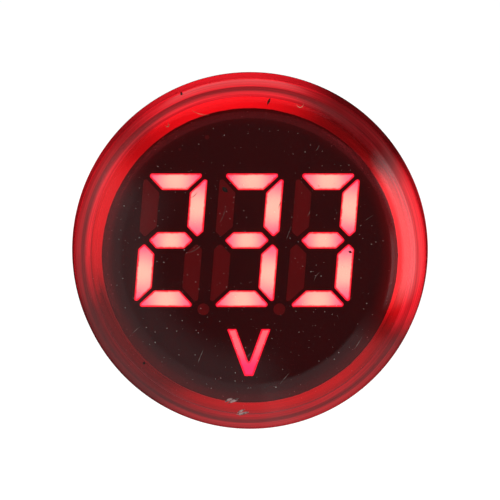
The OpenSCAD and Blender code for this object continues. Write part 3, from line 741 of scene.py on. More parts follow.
# %% Turned lens
def lens_profile():
    """The closed outline of the cap, as (radius, out)."""
    across = SIDE_R - SHOULDER_R
    turn = math.degrees(math.asin(across / (DOME_R - SHOULDER_R)))
    dome = LENS_TOP - DOME_R
    shoulder_up = dome + (DOME_R - SHOULDER_R) * math.cos(math.radians(turn))
    corner_r = SHOULDER_R - 1.4 + 0.3
    foot = LENS_FOOT + 0.02
    outside = [(CAVITY_R, foot - 1.2), (13.65, foot - 1.2), (13.75, foot - 0.9), (13.87, foot - 0.6),
               (13.75, foot - 0.3), (13.75, foot), (RIM_R - 0.1, foot), (RIM_R - 0.03, foot + 0.03),
               (RIM_R, foot + 0.1), (RIM_R, LENS_FOOT + 1.15), (RIM_R - 0.02, LENS_FOOT + 1.25)]
    side = [(RIM_R - 0.02 - (RIM_R - 0.02 - SIDE_R) * s / 8,
             LENS_FOOT + 1.25 + (shoulder_up - LENS_FOOT - 1.25) * s / 8) for s in range(1, 8)]
    shoulder = arc(across, shoulder_up, SHOULDER_R, 0, 90 - turn, 36)
    front = [(DOME_R * math.sin(math.radians(turn * (1 - s / 24))),
              dome + DOME_R * math.cos(math.radians(turn * (1 - s / 24)))) for s in range(1, 25)]
    back = [(0, CAVITY_TOP)] + [((CAVITY_R - corner_r) * s / 8, CAVITY_TOP) for s in range(1, 8)]
    corner = arc(CAVITY_R - corner_r, CAVITY_TOP - corner_r, corner_r, 90, 0, 24)
    wall = [(CAVITY_R, LENS_FOOT + (CAVITY_TOP - corner_r - LENS_FOOT) * (1 - s / 6)) for s in range(1, 6)]
    return outside + side + shoulder + front + back + corner + wall


LENS_TINT, LENS_GLOSS = (0.76, 0.085, 0.105, 1), 0.012


def pass_lamps(t, p, tint):
    """Lets lamps reach what lies under clear plastic straight through it, in its colour."""
    straight = wire(t, "ShaderNodeBsdfTransparent", {"Color": tuple(c ** 0.5 for c in tint[:3]) + (1,)})
    light = wire(t, "ShaderNodeLightPath")
    mix = wire(t, "ShaderNodeMixShader", {0: light.outputs["Is Shadow Ray"], 1: p.outputs[0],
                                          2: straight.outputs[0]})
    t.links.new(mix.outputs[0], t.nodes["Material Output"].inputs["Surface"])


def lens_material():
    """Clear red polycarbonate, faintly wavy and lightly scratched."""
    material, t, p, where = finish("red_lens", Transmission_Weight=1.0, IOR=1.49, Metallic=0.0)
    scratches = scratches_at(t, where, 0.35)
    grain = grain_at(t, where, 2.6, 0.06)
    rub = times(t, scratches.outputs[0], 0.25)
    feed(p, "Roughness", plus(t, rub, LENS_GLOSS))
    feed(p, "Normal", grain.outputs[0])
    p.inputs["Base Color"].default_value = LENS_TINT
    pass_lamps(t, p, LENS_TINT)
    return material


def frosted_painted_glow_material():
    """The inside of the lens's wall, its foot and its plug: a fine diffusing texture with a painted red glow
    that stands in for lamp light caught in the rim.
    """
    material, t, p, where = finish("red_lens_inside_painted_glow", Roughness=0.6, IOR=1.49, Emission_Strength=1.0)
    split = wire(t, "ShaderNodeSeparateXYZ", {0: where})
    turn = calc(t, "ARCTAN2", split.outputs[2], split.outputs[0])
    radius = from_axis(t, split)
    ringed = wire(t, "ShaderNodeCombineXYZ",
                  {0: times(t, radius, 5200.0), 1: times(t, split.outputs[1], 6500.0),
                   2: times(t, turn, 2.0)})
    streak = noise(t, ringed.outputs[0], 1.0, 3.0)
    streak = ramped(t, streak, 0.32, 0.68)
    feed(p, "Base Color", blended(t, streak, (0.08, 0.008, 0.012, 1), (0.16, 0.02, 0.03, 1)))
    out = times(t, split.outputs[1], -1 / MM)
    # painted light: each zone's glow follows the painted ring light, brighter towards each studio lamp and
    # weak between them
    shares = use(t, PAINTED_RING_LIGHT, {"Vector": where})
    level = wire(t, "ShaderNodeMix", {0: ramped(t, out, 7.4, 7.8), 2: shares.outputs["Wall"],
                                      3: shares.outputs["Bend"]}).outputs[0]
    corner = wire(t, "ShaderNodeMix", {0: ramped(t, out, 9.1, 9.55), 2: shares.outputs["Groove"],
                                       3: times(t, shares.outputs["Corner"], 1.2)}).outputs[0]
    level = wire(t, "ShaderNodeMix", {0: ramped(t, out, 8.65, 8.85), 2: level, 3: corner}).outputs[0]
    colour = blended(t, streak, (0.74, 0.02, 0.04, 1), (1.12, 0.05, 0.08, 1))
    feed(p, "Emission Color", blended(t, 1.0, colour, level, kind="MULTIPLY"))
    return material


seal = turned("lens_seal_ring", [(CAVITY_R + 0.01, 2.98), (13.18, 2.9), (13.67, 2.9), (13.75, 2.98),
                                 (13.75, 3.22), (13.67, 3.3), (13.18, 3.3), (CAVITY_R + 0.01, 3.22)])
lens = placed(turned("red_lens", lens_profile(), 256), "meter", "tinted_lens",
              [lens_material(), frosted_painted_glow_material()], "lens")
TEXTURE_TOP = 9.72
frosted = 0
for face in lens.data.polygons:
    r, out = math.hypot(face.center.x, face.center.z) / MM, -face.center.y / MM
    if out < LENS_FOOT + 0.03 or (r < CAVITY_R + 0.02 and out < TEXTURE_TOP):
        face.material_index = 1
        frosted += 1
print("textured faces inside the lens:", frosted)

# %% [markdown]
# ## Use
# A cap like this is wiped, not polished. It carries a few dark specks, two whitish scuffs low on the lens,
# lint, hairline scratches and a fine fall of dust. Each mark is a sliver of solid lying on the lens: `strand`
# follows the surface through a few points and tapers to nothing at both ends.

# %% Marks on the lens
def lens_out(r):
    """Height of the lens's outer surface at a distance from the axis."""
    across = SIDE_R - SHOULDER_R
    edge = DOME_R * across / (DOME_R - SHOULDER_R)
    if r < edge:
        return LENS_TOP - DOME_R + math.sqrt(DOME_R ** 2 - r ** 2)
    rise = LENS_TOP - DOME_R + math.sqrt((DOME_R - SHOULDER_R) ** 2 - across ** 2)
    return rise + math.sqrt(max(0.0, SHOULDER_R ** 2 - (r - across) ** 2))


def strand(bm, points, width, height=0.02, steps=5):
    """A flat sliver along points of (x, up) on the lens, widest in its middle."""
    path = []
    for (x0, y0), (x1, y1) in zip(points, points[1:]):
        path += [(x0 + (x1 - x0) * s / steps, y0 + (y1 - y0) * s / steps) for s in range(steps)]
    path.append(points[-1])
    rings = []
    for i, (x, y) in enumerate(path):
        a, b = path[max(i - 1, 0)], path[min(i + 1, len(path) - 1)]
        run = math.hypot(b[0] - a[0], b[1] - a[1])
        nx, ny = (a[1] - b[1]) / run, (b[0] - a[0]) / run
        share = max(0.12, math.sin(math.pi * (i + 0.5) / (len(path))))
        w, h = width / 2 * share, height * share
        ring = []
        for dx, dh in ((w, 0.002), (0, h), (-w, 0.002)):
            px, py = x + nx * dx, y + ny * dx
            ring.append(bm.verts.new(at(px, py, lens_out(math.hypot(px, py)) + dh)))
        rings.append(ring)
    for a, b in zip(rings, rings[1:]):
        for i in range(3):
            j = (i + 1) % 3
            bm.faces.new((a[i], a[j], b[j], b[i]))
    bm.faces.new(rings[0][::-1])
    bm.faces.new(rings[-1])


def sliver(x, up, length, heading, bend):
    """Points of a short bent line about its middle, with its heading and bend in degrees."""
    shares = [i / 4 - 0.5 for i in range(5)]
    turns = [math.radians(heading + bend * share) for share in shares]
    return [(x + length * s * math.cos(a), up + length * s * math.sin(a)) for s, a in zip(shares, turns)]


def marks(name, lines, dark, pale, rough):
    """All marks of one kind, as one piece. A line is its middle, length, heading, bend and width."""
    bm = bmesh.new()
    for *line, width in lines:
        strand(bm, sliver(*line), width)
    mesh = bpy.data.meshes.new(name)
    bm.to_mesh(mesh)
    bm.free()
    material, t, p, where = finish(name + "_finish", Specular_IOR_Level=0.15)
    cloud = noise(t, where, 3000.0, 3.0)
    feed(p, "Base Color", blended(t, ramped(t, cloud, 0.35, 0.65), dark, pale))
    feed(p, "Roughness", ramped(t, cloud, 0.3, 0.7, rough - 0.08, rough + 0.08))
    placed(finished(name, mesh), "meter", "tinted_lens", material)


SPECKS = [(1.5, 12.5, 0.6, 65, 0, 0.17), (-5.5, 13.0, 0.2, 30, 0, 0.24), (-2.0, 5.5, 0.6, -45, 10, 0.36),
          (-8.5, -8.5, 0.25, 90, 0, 0.2), (8.0, 0.5, 0.3, -20, 0, 0.19)]
LINT = [(4.0, 12.0, 0.8, 0, 90, 0.06), (-6.5, 10.5, 0.5, 40, 120, 0.07), (-4.0, 11.5, 1.5, -15, 20, 0.04)]
SCUFFED = [(-1.5, -11.5, 4), (-0.5, -12.5, 3)]      # a scuffed place, and how many slivers it has
HAIRLINE_COUNT, HAIRLINE_NEAR, HAIRLINE_FAR = 14, 3.5, 11.3

wear = random.Random(21)
scuffs = [(x + wear.uniform(-0.3, 0.3), up + wear.uniform(-0.12, 0.12), wear.uniform(0.5, 0.9),
           wear.uniform(10, 40), wear.uniform(-20, 20), wear.uniform(0.14, 0.22))
          for x, up, count in SCUFFED for _ in range(count)]
hairlines = []
for _ in range(HAIRLINE_COUNT):
    r, turn = wear.uniform(HAIRLINE_NEAR, HAIRLINE_FAR), wear.uniform(0, 2 * math.pi)
    hairlines.append((r * math.cos(turn), r * math.sin(turn), wear.uniform(0.5, 1.4),
                      wear.uniform(20, 70), wear.uniform(-25, 25), wear.uniform(0.035, 0.06)))
marks("lens_specks", SPECKS, (0.006, 0.004, 0.004, 1), (0.022, 0.014, 0.012, 1), 0.85)
marks("lens_scuffs", scuffs, (0.07, 0.03, 0.03, 1), (0.42, 0.28, 0.27, 1), 0.6)
marks("lens_hairlines", hairlines, (0.05, 0.025, 0.025, 1), (0.20, 0.13, 0.12, 1), 0.5)
marks("lens_lint", LINT, (0.42, 0.12, 0.06, 1), (0.70, 0.30, 0.20, 1), 0.6)

# %% [markdown]
# Dust falls where it likes, so it is scattered by geometry nodes over a copy of the lens's front: flakes of
# random size and turn, from a fixed seed. The scatter is baked into one plain mesh at the end.

# %% Dust
def scatter_tree():
    """Scatters flattened flakes over a surface."""
    g = bpy.data.node_groups.new("scattered_flakes", "GeometryNodeTree")
    for label, kind in (("Surface", "NodeSocketGeometry"), ("Per square metre", "NodeSocketFloat"),
                        ("Seed", "NodeSocketInt"), ("Smallest", "NodeSocketFloat"),
                        ("Largest", "NodeSocketFloat"), ("Finish", "NodeSocketMaterial")):
        g.interface.new_socket(name=label, in_out="INPUT", socket_type=kind)
    g.interface.new_socket(name="Flakes", in_out="OUTPUT", socket_type="NodeSocketGeometry")
    i, o = wire(g, "NodeGroupInput"), wire(g, "NodeGroupOutput")
    spots = wire(g, "GeometryNodeDistributePointsOnFaces",
                 {"Mesh": i.outputs["Surface"], "Density": i.outputs["Per square metre"],
                  "Seed": i.outputs["Seed"]})
    size = wire(g, "FunctionNodeRandomValue", {2: i.outputs["Smallest"], 3: i.outputs["Largest"],
                                               "Seed": i.outputs["Seed"]})
    longer = wire(g, "FunctionNodeRandomValue", {2: 0.6, 3: 2.2, "Seed": plus(g, i.outputs["Seed"], 1.0)})
    shape = wire(g, "ShaderNodeCombineXYZ", {0: times(g, size.outputs[1], longer.outputs[1]),
                                             1: size.outputs[1], 2: times(g, size.outputs[1], 0.3)})
    spin = wire(g, "FunctionNodeRandomValue", {2: 0.0, 3: 2 * math.pi, "Seed": i.outputs["Seed"]})
    axis = wire(g, "ShaderNodeCombineXYZ", {2: spin.outputs[1]})
    turned_by = wire(g, "FunctionNodeRotateRotation",
                     {"Rotation": spots.outputs["Rotation"], "Rotate By": axis.outputs[0]},
                     rotation_space="LOCAL")
    flake = wire(g, "GeometryNodeMeshIcoSphere", {"Radius": 1.0, "Subdivisions": 1})
    laid = wire(g, "GeometryNodeInstanceOnPoints",
                {"Points": spots.outputs["Points"], "Instance": flake.outputs["Mesh"],
                 "Rotation": turned_by.outputs[0], "Scale": shape.outputs[0]})
    real = wire(g, "GeometryNodeRealizeInstances", {0: laid.outputs[0]})
    last = wire(g, "GeometryNodeSetMaterial",
                {"Geometry": real.outputs[0], "Material": i.outputs["Finish"]})
    g.links.new(last.outputs[0], o.inputs["Flakes"])
    return g


SCATTER = scatter_tree()


def dusting(name, per_piece, seed, smallest, largest, dark, pale):
    """One fall of dust on the front of the lens."""
    rim = SIDE_R - 0.9
    # the dome's highest spot stays bare, so that no flake stands past the size of the meter
    front = turned(name, [(rim * s / 16, lens_out(rim * s / 16)) for s in range(2, 17)], 64, closed=False)
    material, t, p, where = finish(name + "_finish", Roughness=0.75)
    cloud = wire(t, "ShaderNodeTexNoise", {"Vector": where, "Scale": 600.0}).outputs[0]
    feed(p, "Base Color", blended(t, ramped(t, cloud, 0.35, 0.65), dark, pale))
    values = {"Per square metre": per_piece / (math.pi * (rim * MM) ** 2), "Seed": seed,
              "Smallest": smallest * MM, "Largest": largest * MM, "Finish": material}
    step = front.modifiers.new("dust", "NODES")
    step.node_group = SCATTER
    for socket in SCATTER.interface.items_tree:
        if socket.in_out == "INPUT" and socket.name in values:
            step[socket.identifier] = values[socket.name]
    placed(settled(front), "meter", "tinted_lens", material)


dusting("pale_dust", 620, 3, 0.010, 0.029, (0.24, 0.15, 0.14, 1), (0.62, 0.50, 0.48, 1))
dusting("dark_dust", 40, 8, 0.014, 0.036, (0.015, 0.012, 0.012, 1), (0.06, 0.04, 0.04, 1))

# %% [markdown]
# ## Housing and panel hardware
# The body is one black moulding: a flange that carries the lens, a plain neck that fills the panel hole, and
# a threaded barrel with a flat down each side. The thread is a real helix. It is modelled by letting the
# barrel's radius follow a ramp that climbs one pitch per turn, so crests, roots and run-outs fall in place.

# %% Threads
PITCH_BARREL, DEPTH_BARREL = 1.5, 0.7


def thread_wave(angle, out, pitch):
    """Height of a rounded V thread, right-handed, from 0 in the root to 1 on the crest."""
    t = (out / pitch - angle / (2 * math.pi)) % 1.0
    v = abs(2 * t - 1)
    return min(1.0, max(0.0, (v - 0.12) / 0.72))


def faded(out, low, high, run):
    """1 in the middle of a thread and 0 at its two ends."""
    return max(0.0, min(1.0, (out - low) / run, (high - out) / run))


def barrel_shape(r, angle, out):
    """The thread and the two flats of the barrel."""
    if not (TAIL_FRONT - 0.01 <= out <= RELIEF_BACK + 0.01) or r < BORE_R + 0.5:
        return r
    depth = DEPTH_BARREL * faded(out, TAIL_FRONT, RELIEF_BACK, 0.8)
    r = r - depth * (1 - thread_wave(angle, out, PITCH_BARREL))
    reach = abs(math.cos(angle))
    return min(r, FLAT_X / reach) if reach > 1e-6 else r


def housing_profile():
    """The closed outline of the housing, as (radius, out)."""
    rows = round((RELIEF_BACK - TAIL_FRONT) / PITCH_BARREL * 12)
    thread = [(THREAD_R, RELIEF_BACK + (TAIL_FRONT - RELIEF_BACK) * i / rows) for i in range(rows + 1)]
    mouth = [(BORE_R, 2.6), (12.08, 2.6), (12.08, 4.5), (13.05, 4.5), (13.05, 2.9)]
    snap_groove = [(13.8, 2.9), (13.8, 3.6), (13.92, 3.9), (13.8, 4.2), (13.8, 4.5)]
    flange = [(14.2, 4.5), (14.3, 4.4), (14.3, 1.8), (14.2, 1.6), (14.0, 1.5), (10.6, 1.5), (10.6, 0.0)]
    neck = [(NECK_R, 0.0), (NECK_R, NECK_BACK + 0.1), (NECK_R - 0.1, NECK_BACK), (FLAT_X, NECK_BACK),
            (FLAT_X, RELIEF_BACK)]
    tail = [(TAIL_R, TAIL_FRONT), (TAIL_R, TAIL_BACK + 0.3), (TAIL_R - 0.09, TAIL_BACK + 0.09),
            (TAIL_R - 0.3, TAIL_BACK), (BORE_R, TAIL_BACK)]
    return mouth + snap_groove + flange + neck + thread + tail


def black_moulding(name="black_nylon", tone=0.028, rough=0.38, size=0.25):
    """Glass-filled nylon: near black, with a fine spark-eroded grain, faint scratches and settled dust."""
    material, t, p, where = finish(name, IOR=1.5)
    grain = grain_at(t, where, size, 0.35)
    scratches = scratches_at(t, where, 0.5)
    dust = dust_at(t, where, 0.8, 0.2)
    cloud = noise(t, where, 130.0, 3.0)
    body = blended(t, cloud, (tone * 0.85, tone * 0.85, tone * 0.9, 1),
                   (tone * 1.2, tone * 1.2, tone * 1.25, 1))
    body = blended(t, times(t, scratches.outputs[0], 0.35), body, (0.12, 0.12, 0.12, 1))
    feed(p, "Base Color", blended(t, times(t, dust.outputs[0], 0.5), body, (0.3, 0.28, 0.26, 1)))
    shine = ramped(t, grain.outputs["Height"], 0.3, 0.7, rough - 0.06, rough + 0.08)
    feed(p, "Roughness", plus(t, shine, times(t, scratches.outputs[0], 0.15)))
    feed(p, "Normal", grain.outputs["Normal"])
    return material


NYLON = black_moulding()
housing = turned("housing_shell", housing_profile(), 192, barrel_shape)
windows = [block("lug_window", (4.4, 4.0, 1.4), (0, side * 10.4, TAIL_BACK + 1.3)) for side in (-1, 1)]
combined(housing, windows)
placed(housing, "meter", "black_nylon", NYLON, "housing")

# %% [markdown]
# Between flange and panel sits a ring of soft black rubber. It is matt, it holds lint, and its outer edge
# carries the fine line where the two halves of its mould met.

# %% Gasket
def rubber_material(name="rubber", tone=0.035):
    """Matt black rubber with bloom and lint."""
    material, t, p, where = finish(name, IOR=1.45)
    grain = grain_at(t, where, 0.12, 0.6)
    dust = dust_at(t, where, 0.45, 0.35)
    bloom = noise(t, where, 220.0, 4.0)
    body = blended(t, ramped(t, bloom, 0.4, 0.75), (tone, tone, tone, 1),
                   (tone * 1.9, tone * 1.85, tone * 1.8, 1))
    feed(p, "Base Color", blended(t, times(t, dust.outputs[0], 0.7), body, (0.4, 0.38, 0.35, 1)))
    feed(p, "Roughness", ramped(t, bloom, 0.3, 0.8, 0.62, 0.85))
    feed(p, "Normal", grain.outputs["Normal"])
    return material


RUBBER = rubber_material()
gasket = turned("gasket_ring", [(11.05, 0.0), (13.75, 0.0)] + arc(13.75, 0.25, 0.25, -90, 0, 5)[1:]
                + [(14.0, 0.70), (14.03, 0.75), (14.0, 0.80)] + arc(13.75, 1.25, 0.25, 0, 90, 5)
                + [(10.65, 1.5), (10.65, 0.4)], 192)
placed(gasket, "meter", "gasket_rubber", RUBBER, "panel_gasket")
placed(seal, "meter", "seal_rubber", rubber_material("seal_rubber", 0.05), "lens_seal")

# %% [markdown]
# The washer is stamped from zinc-plated steel. Its hole has the barrel's two flats, so it can slide but not
# turn, and the nut doesn't drag the gasket round. The nut itself is moulded, with flutes for the fingers and
# a thread that runs clear of the barrel's by less than a tenth of a millimetre.

# %% Washer and nut
def zinc_material(name="zinc_plate"):
    """Bright zinc: blue-white, softly spangled, rubbed in use."""
    material, t, p, where = finish(name, Metallic=1.0)
    spangle = wire(t, "ShaderNodeTexVoronoi", {"Vector": where, "Scale": 900.0}, feature="F1")
    tone = wire(t, "ShaderNodeSeparateColor", {0: spangle.outputs["Color"]}).outputs[0]
    scratches = scratches_at(t, where, 1.4)
    cloud = noise(t, where, 160.0, 4.0)
    cool = blended(t, tone, (0.58, 0.60, 0.63, 1), (0.68, 0.70, 0.72, 1))
    warm = blended(t, ramped(t, cloud, 0.5, 0.7), cool, (0.66, 0.62, 0.52, 1))
    feed(p, "Base Color", blended(t, scratches.outputs[0], warm, (0.8, 0.8, 0.8, 1)))
    feed(p, "Roughness", plus(t, ramped(t, cloud, 0.3, 0.8, 0.24, 0.4), times(t, tone, 0.06)))
    grain = grain_at(t, where, 0.18, 0.12)
    feed(p, "Normal", grain.outputs["Normal"])
    return material


ZINC = zinc_material()
NUT_R = 13.2
KEY_X = FLAT_X + 0.08
hole = []
for i in range(256):
    a = 2 * math.pi * i / 256
    r = THREAD_R + 0.08
    hole.append((max(-KEY_X, min(KEY_X, r * math.cos(a))), r * math.sin(a)))
washer = plate("washer_plate", disc(0, 0, NUT_R, 256), [hole], -4.0, -3.0, 0.12)
placed(washer, "washer_slider", "plated_steel", ZINC, "keyed_washer")

NUT_FRONT, NUT_BACK, NUT_FLANGE = -4.0, -9.5, 1.5
NUT_BORE = THREAD_R + 0.08
FLUTES, FLUTE_R, FLUTE_DEPTH = 24, 0.8, 0.45


def nut_shape(r, angle, out):
    """Flutes round the outside behind the flange, and the thread inside."""
    if r < NUT_BORE + 0.1:
        depth = 0.5 * faded(out, NUT_BACK + 0.4, NUT_FRONT - 0.2, 0.6)
        return r - depth * (1 - thread_wave(angle, out, PITCH_BARREL))
    if out > NUT_FRONT - NUT_FLANGE - 0.005 or r < NUT_R - 0.5:
        return r
    step = 2 * math.pi / FLUTES
    off = (angle + step / 2) % step - step / 2
    centre = NUT_R - FLUTE_DEPTH + FLUTE_R
    across = centre * math.sin(off)
    if abs(across) >= FLUTE_R:
        return r
    return min(r, centre * math.cos(off) - math.sqrt(FLUTE_R ** 2 - across ** 2))


def nut_profile():
    """The closed outline of the nut, with a row of points along its thread."""
    front = [(NUT_R - 0.4, NUT_FRONT)] + arc(NUT_R - 0.4, NUT_FRONT - 0.4, 0.4, 90, 0, 4)[1:]
    step = [(NUT_R, NUT_FRONT - NUT_FLANGE + 0.03), (NUT_R, NUT_FRONT - NUT_FLANGE - 0.01)]
    back = [(NUT_R, NUT_BACK + 0.4), (NUT_R - 0.12, NUT_BACK + 0.12), (NUT_R - 0.4, NUT_BACK),
            (NUT_BORE + 0.4, NUT_BACK)]
    threaded = NUT_FRONT - NUT_BACK - 0.4
    rows = round(threaded / PITCH_BARREL * 10)
    return front + step + back + [(NUT_BORE, NUT_BACK + 0.4 + threaded * i / rows) for i in range(rows + 1)]


placed(turned("grip_nut", nut_profile(), 480, nut_shape), "nut_turner", "black_nylon",
       black_moulding("nut_nylon", 0.03, 0.42, 0.2), "lock_nut")

# %% [markdown]
# ## Terminals
# The rear plug is moulded like the housing: a spigot with two snap lugs, a collar that stops it, and two
# wells with a barrier between them. It is turned and then milled here, much as its mould would be.

# %% Rear plug
WELL_FLOOR, WELL_SIDE, BARRIER, SCREW_X, SCREW_R = -32.3, 3.3, 0.75, 4.6, 1.7
PLATE_T, CLAMP_T, CLAMP_SIDE = 0.8, 1.0, 6.0
BLOCK_R, SPIGOT_R, LUG_R = 9.02, 8.85, 9.45


def rectangle(x0, x1, y0, y1, radius=0.3):
    """A rectangle with rounded corners."""
    return rounded([(x0, y0), (x1, y0), (x1, y1), (x0, y1)], radius)


plug = turned("rear_plug", [(0, BLOCK_BACK), (BLOCK_R, BLOCK_BACK), (BLOCK_R, COLLAR_BACK),
                            (TAIL_R, COLLAR_BACK), (TAIL_R, TAIL_BACK), (SPIGOT_R, TAIL_BACK),
                            (SPIGOT_R, TAIL_BACK + 2), (0, TAIL_BACK + 2)], 128)
combined(plug, [block("lug", (4, 2.8, 1), (0, side * (LUG_R - 1.4), TAIL_BACK + 1.3)) for side in (-1, 1)],
         "UNION")
cutters = []
for side in (-1, 1):
    low, high = sorted((side * BARRIER, side * 19.0))
    cutters.append(prism("well", rectangle(low, high, -WELL_SIDE, WELL_SIDE), BLOCK_BACK - 0.1, WELL_FLOOR))
    cutters.append(prism("bore", disc(side * SCREW_X, 0, SCREW_R + 0.13, 32), WELL_FLOOR - 0.1,
                         WELL_FLOOR + 4.6))
    cutters.append(block("tail_slot", (1.0, 0.9, 11.0), (side * 7.25, side * 1.0, WELL_FLOOR + 5.4)))
combined(plug, cutters)
softened(plug, 0.12)
placed(plug, "meter", "black_nylon", black_moulding("plug_nylon", 0.032, 0.40, 0.22), "terminal_block")

# %% [markdown]
# Each terminal is a stamped brass plate, tapped for its screw, and a square zinc-plated clamp plate that the
# screw head presses on the wire. Stamping leaves one edge rounded, so every edge is broken a little. The
# screws are cheese-heads with a cross recess, and their thread is rolled, so it is a helix here too.

# %% Brass plates, clamp plates and screws
PITCH_SCREW, DEPTH_SCREW = 0.6, 0.24
PLATE_BACK = WELL_FLOOR - PLATE_T
CLAMP_BACK = PLATE_BACK - CLAMP_T


def brass_material():
    """Stamped brass: drawn lines along the strip, and a little brown tarnish."""
    material, t, p, where = finish("stamped_brass", Metallic=1.0)
    drawn = wire(t, "ShaderNodeMapping", {"Vector": where, "Scale": (9000.0, 300.0, 900.0)})
    lines = noise(t, drawn.outputs[0], 1.0, 2.0)
    tarnish = noise(t, where, 420.0, 4.0)
    metal = blended(t, lines, (0.66, 0.45, 0.17, 1), (0.80, 0.58, 0.26, 1))
    feed(p, "Base Color", blended(t, ramped(t, tarnish, 0.5, 0.72, 0.0, 0.7), metal, (0.36, 0.20, 0.08, 1)))
    feed(p, "Roughness", ramped(t, tarnish, 0.35, 0.75, 0.26, 0.5))
    bump = wire(t, "ShaderNodeBump", {"Strength": 0.2, "Distance": 0.01 * MM, "Height": lines})
    feed(p, "Normal", bump.outputs[0])
    return material


def screw_shape(r, angle, out):
    """The rolled thread on the shank, faded at the head and at the tip."""
    if abs(r - SCREW_R) > 0.01:
        return r
    depth = DEPTH_SCREW * faded(out, CLAMP_BACK + 0.5, CLAMP_BACK + 6.4, 0.5)
    return r - depth * (1 - thread_wave(angle, out, PITCH_SCREW))


def screw(name, x):
    """A cheese-head screw with a cross recess and a rolled thread."""
    head_r, head_back = 2.9, CLAMP_BACK - 2.0
    rows = 60
    shank = [(SCREW_R, CLAMP_BACK + 0.05 + 5.75 * i / rows) for i in range(rows + 1)]
    tip = [(0, CLAMP_BACK + 6), (SCREW_R - 0.35, CLAMP_BACK + 6)]
    head = [(head_r - 0.1, CLAMP_BACK), (head_r, CLAMP_BACK - 0.1)]
    head += arc(head_r - 0.5, head_back + 0.5, 0.5, 0, -90, 6) + [(head_r * 0.6, head_back), (0, head_back)]
    profile = tip + shank[::-1] + head
    obj = turned(name, profile, 72, screw_shape)
    blades = [prism("blade", rectangle(-1.8, 1.8, -0.4, 0.4, 0.1), head_back - 0.05, head_back + 1.1, 0.62),
              prism("blade", rectangle(-0.4, 0.4, -1.8, 1.8, 0.1), head_back - 0.05, head_back + 1.1, 0.62)]
    combined(obj, blades)
    for v in obj.data.vertices:
        v.co.x += x * MM
    return obj


BRASS, SCREW_ZINC = brass_material(), zinc_material("screw_zinc")
for side, word in ((-1, "left"), (1, "right")):
    low, high = sorted((side * (SCREW_X - 3.0), side * (SCREW_X + 3.1)))
    strip = block("tail_strip", (0.9, 0.8, 11.0), (side * 7.25, side * 1.0, PLATE_BACK + 5.5))
    brass = prism("brass_plate_" + word, rectangle(low, high, -3.0, 3.0, 0.35), PLATE_BACK, WELL_FLOOR)
    combined(combined(brass, [strip], "UNION"),
             [prism("hole", disc(side * SCREW_X, 0, 1.75, 40), PLATE_BACK - 0.1, WELL_FLOOR + 0.1)])
    placed(softened(brass, 0.07), "meter", "plate_brass", BRASS, "terminal_plate_" + word)

    half = CLAMP_SIDE / 2
    clamp = prism("wire_clamp_" + word, rectangle(side * SCREW_X - half, side * SCREW_X + half, -half, half,
                                                  0.5), CLAMP_BACK, PLATE_BACK)
    cuts = [prism("hole", disc(side * SCREW_X, 0, SCREW_R + 0.08, 40), CLAMP_BACK - 0.1, PLATE_BACK + 0.1)]
    cuts += [block("bite", (0.5, 8, 0.4), (side * SCREW_X + x, 0, PLATE_BACK)) for x in (-2.5, 2.5)]
    placed(softened(combined(clamp, cuts), 0.1), "clamp_" + word, "plated_steel", ZINC,
           "clamp_plate_" + word)
    placed(screw("clamp_screw_" + word, side * SCREW_X), "screw_" + word, "plated_steel", SCREW_ZINC,
           "terminal_screw_" + word)

# %% [markdown]
# The cover is a clear cap that a finger can't get past but a screwdriver can. Clear polycarbonate is never
# quite colourless: it is faintly blue, and it shows every rub.

# %% Clear cover
def clear_material():
    """Clear polycarbonate, faintly blue and rubbed."""
    material, t, p, where = finish("clear_polycarbonate", Transmission_Weight=1.0, IOR=1.58, Metallic=0.0)
    scratches = scratches_at(t, where, 0.9)
    cloud = noise(t, where, 200.0, 3.0)
    grain = grain_at(t, where, 1.8, 0.08)
    feed(p, "Base Color", blended(t, cloud, (0.90, 0.94, 0.96, 1), (0.96, 0.98, 0.99, 1)))
    feed(p, "Roughness", plus(t, ramped(t, cloud, 0.3, 0.8, 0.03, 0.10),
                              times(t, scratches.outputs[0], 0.3)))
    feed(p, "Normal", grain.outputs[0])
    pass_lamps(t, p, (0.93, 0.96, 0.97, 1))
    return material


COVER_BACK, COVER_FRONT, COVER_WALL = BLOCK_BACK - 1.1, COLLAR_BACK - 0.05, 0.9
inner_r, inner_back = TAIL_R - COVER_WALL, COVER_BACK + COVER_WALL
cap_outside = [(0, COVER_BACK)] + arc(TAIL_R - 0.5, COVER_BACK + 0.5, 0.5, -90, 0, 6)
cap_inside = arc(inner_r - 0.3, inner_back + 0.3, 0.3, 0, -90, 4) + [(0, inner_back)]
cap_mouth = [(TAIL_R, COVER_FRONT), (inner_r, COVER_FRONT)]
cover = turned("clear_cap", cap_outside + cap_mouth + cap_inside, 128)
holes = [prism("access", disc(side * SCREW_X, 0, 3.3, 48), COVER_BACK - 0.1,
               inner_back + 0.1) for side in (-1, 1)]
combined(cover, holes + [block("wire_opening", (60, 6.6, 8.0), (0, 0, inner_back + 4.0))])
placed(softened(cover, 0.08), "cover", "clear_cover", clear_material(), "terminal_cover")

# %% [markdown]
# ## Boards and what is soldered to them
# Nothing of these shows until the meter is opened, and their solids are already true to shape. So they stay,
# and get finishes that know where each body ends and its tinned leads begin: a point outside the body's box
# is a lead.

# %% Finishes for the parts inside
TIN = (0.62, 0.62, 0.64, 1)


def outside_box(t, where, low, high):
    """1 where a point lies outside a box given by its corners in millimetres (x, up, out)."""
    a, b = at(*low), at(*high)
    middle, half = (a + b) / 2, [abs(v) / 2 for v in b - a]
    off = wire(t, "ShaderNodeVectorMath", {0: where, 1: tuple(middle)}, operation="SUBTRACT").outputs[0]
    size = wire(t, "ShaderNodeVectorMath", {0: off}, operation="ABSOLUTE").outputs[0]
    over = wire(t, "ShaderNodeVectorMath", {0: size, 1: tuple(half)}, operation="SUBTRACT").outputs[0]
    split = wire(t, "ShaderNodeSeparateXYZ", {0: over})
    most = calc(t, "MAXIMUM", calc(t, "MAXIMUM", split.outputs[0], split.outputs[1]), split.outputs[2])
    return calc(t, "GREATER_THAN", most, 0.012 * MM)


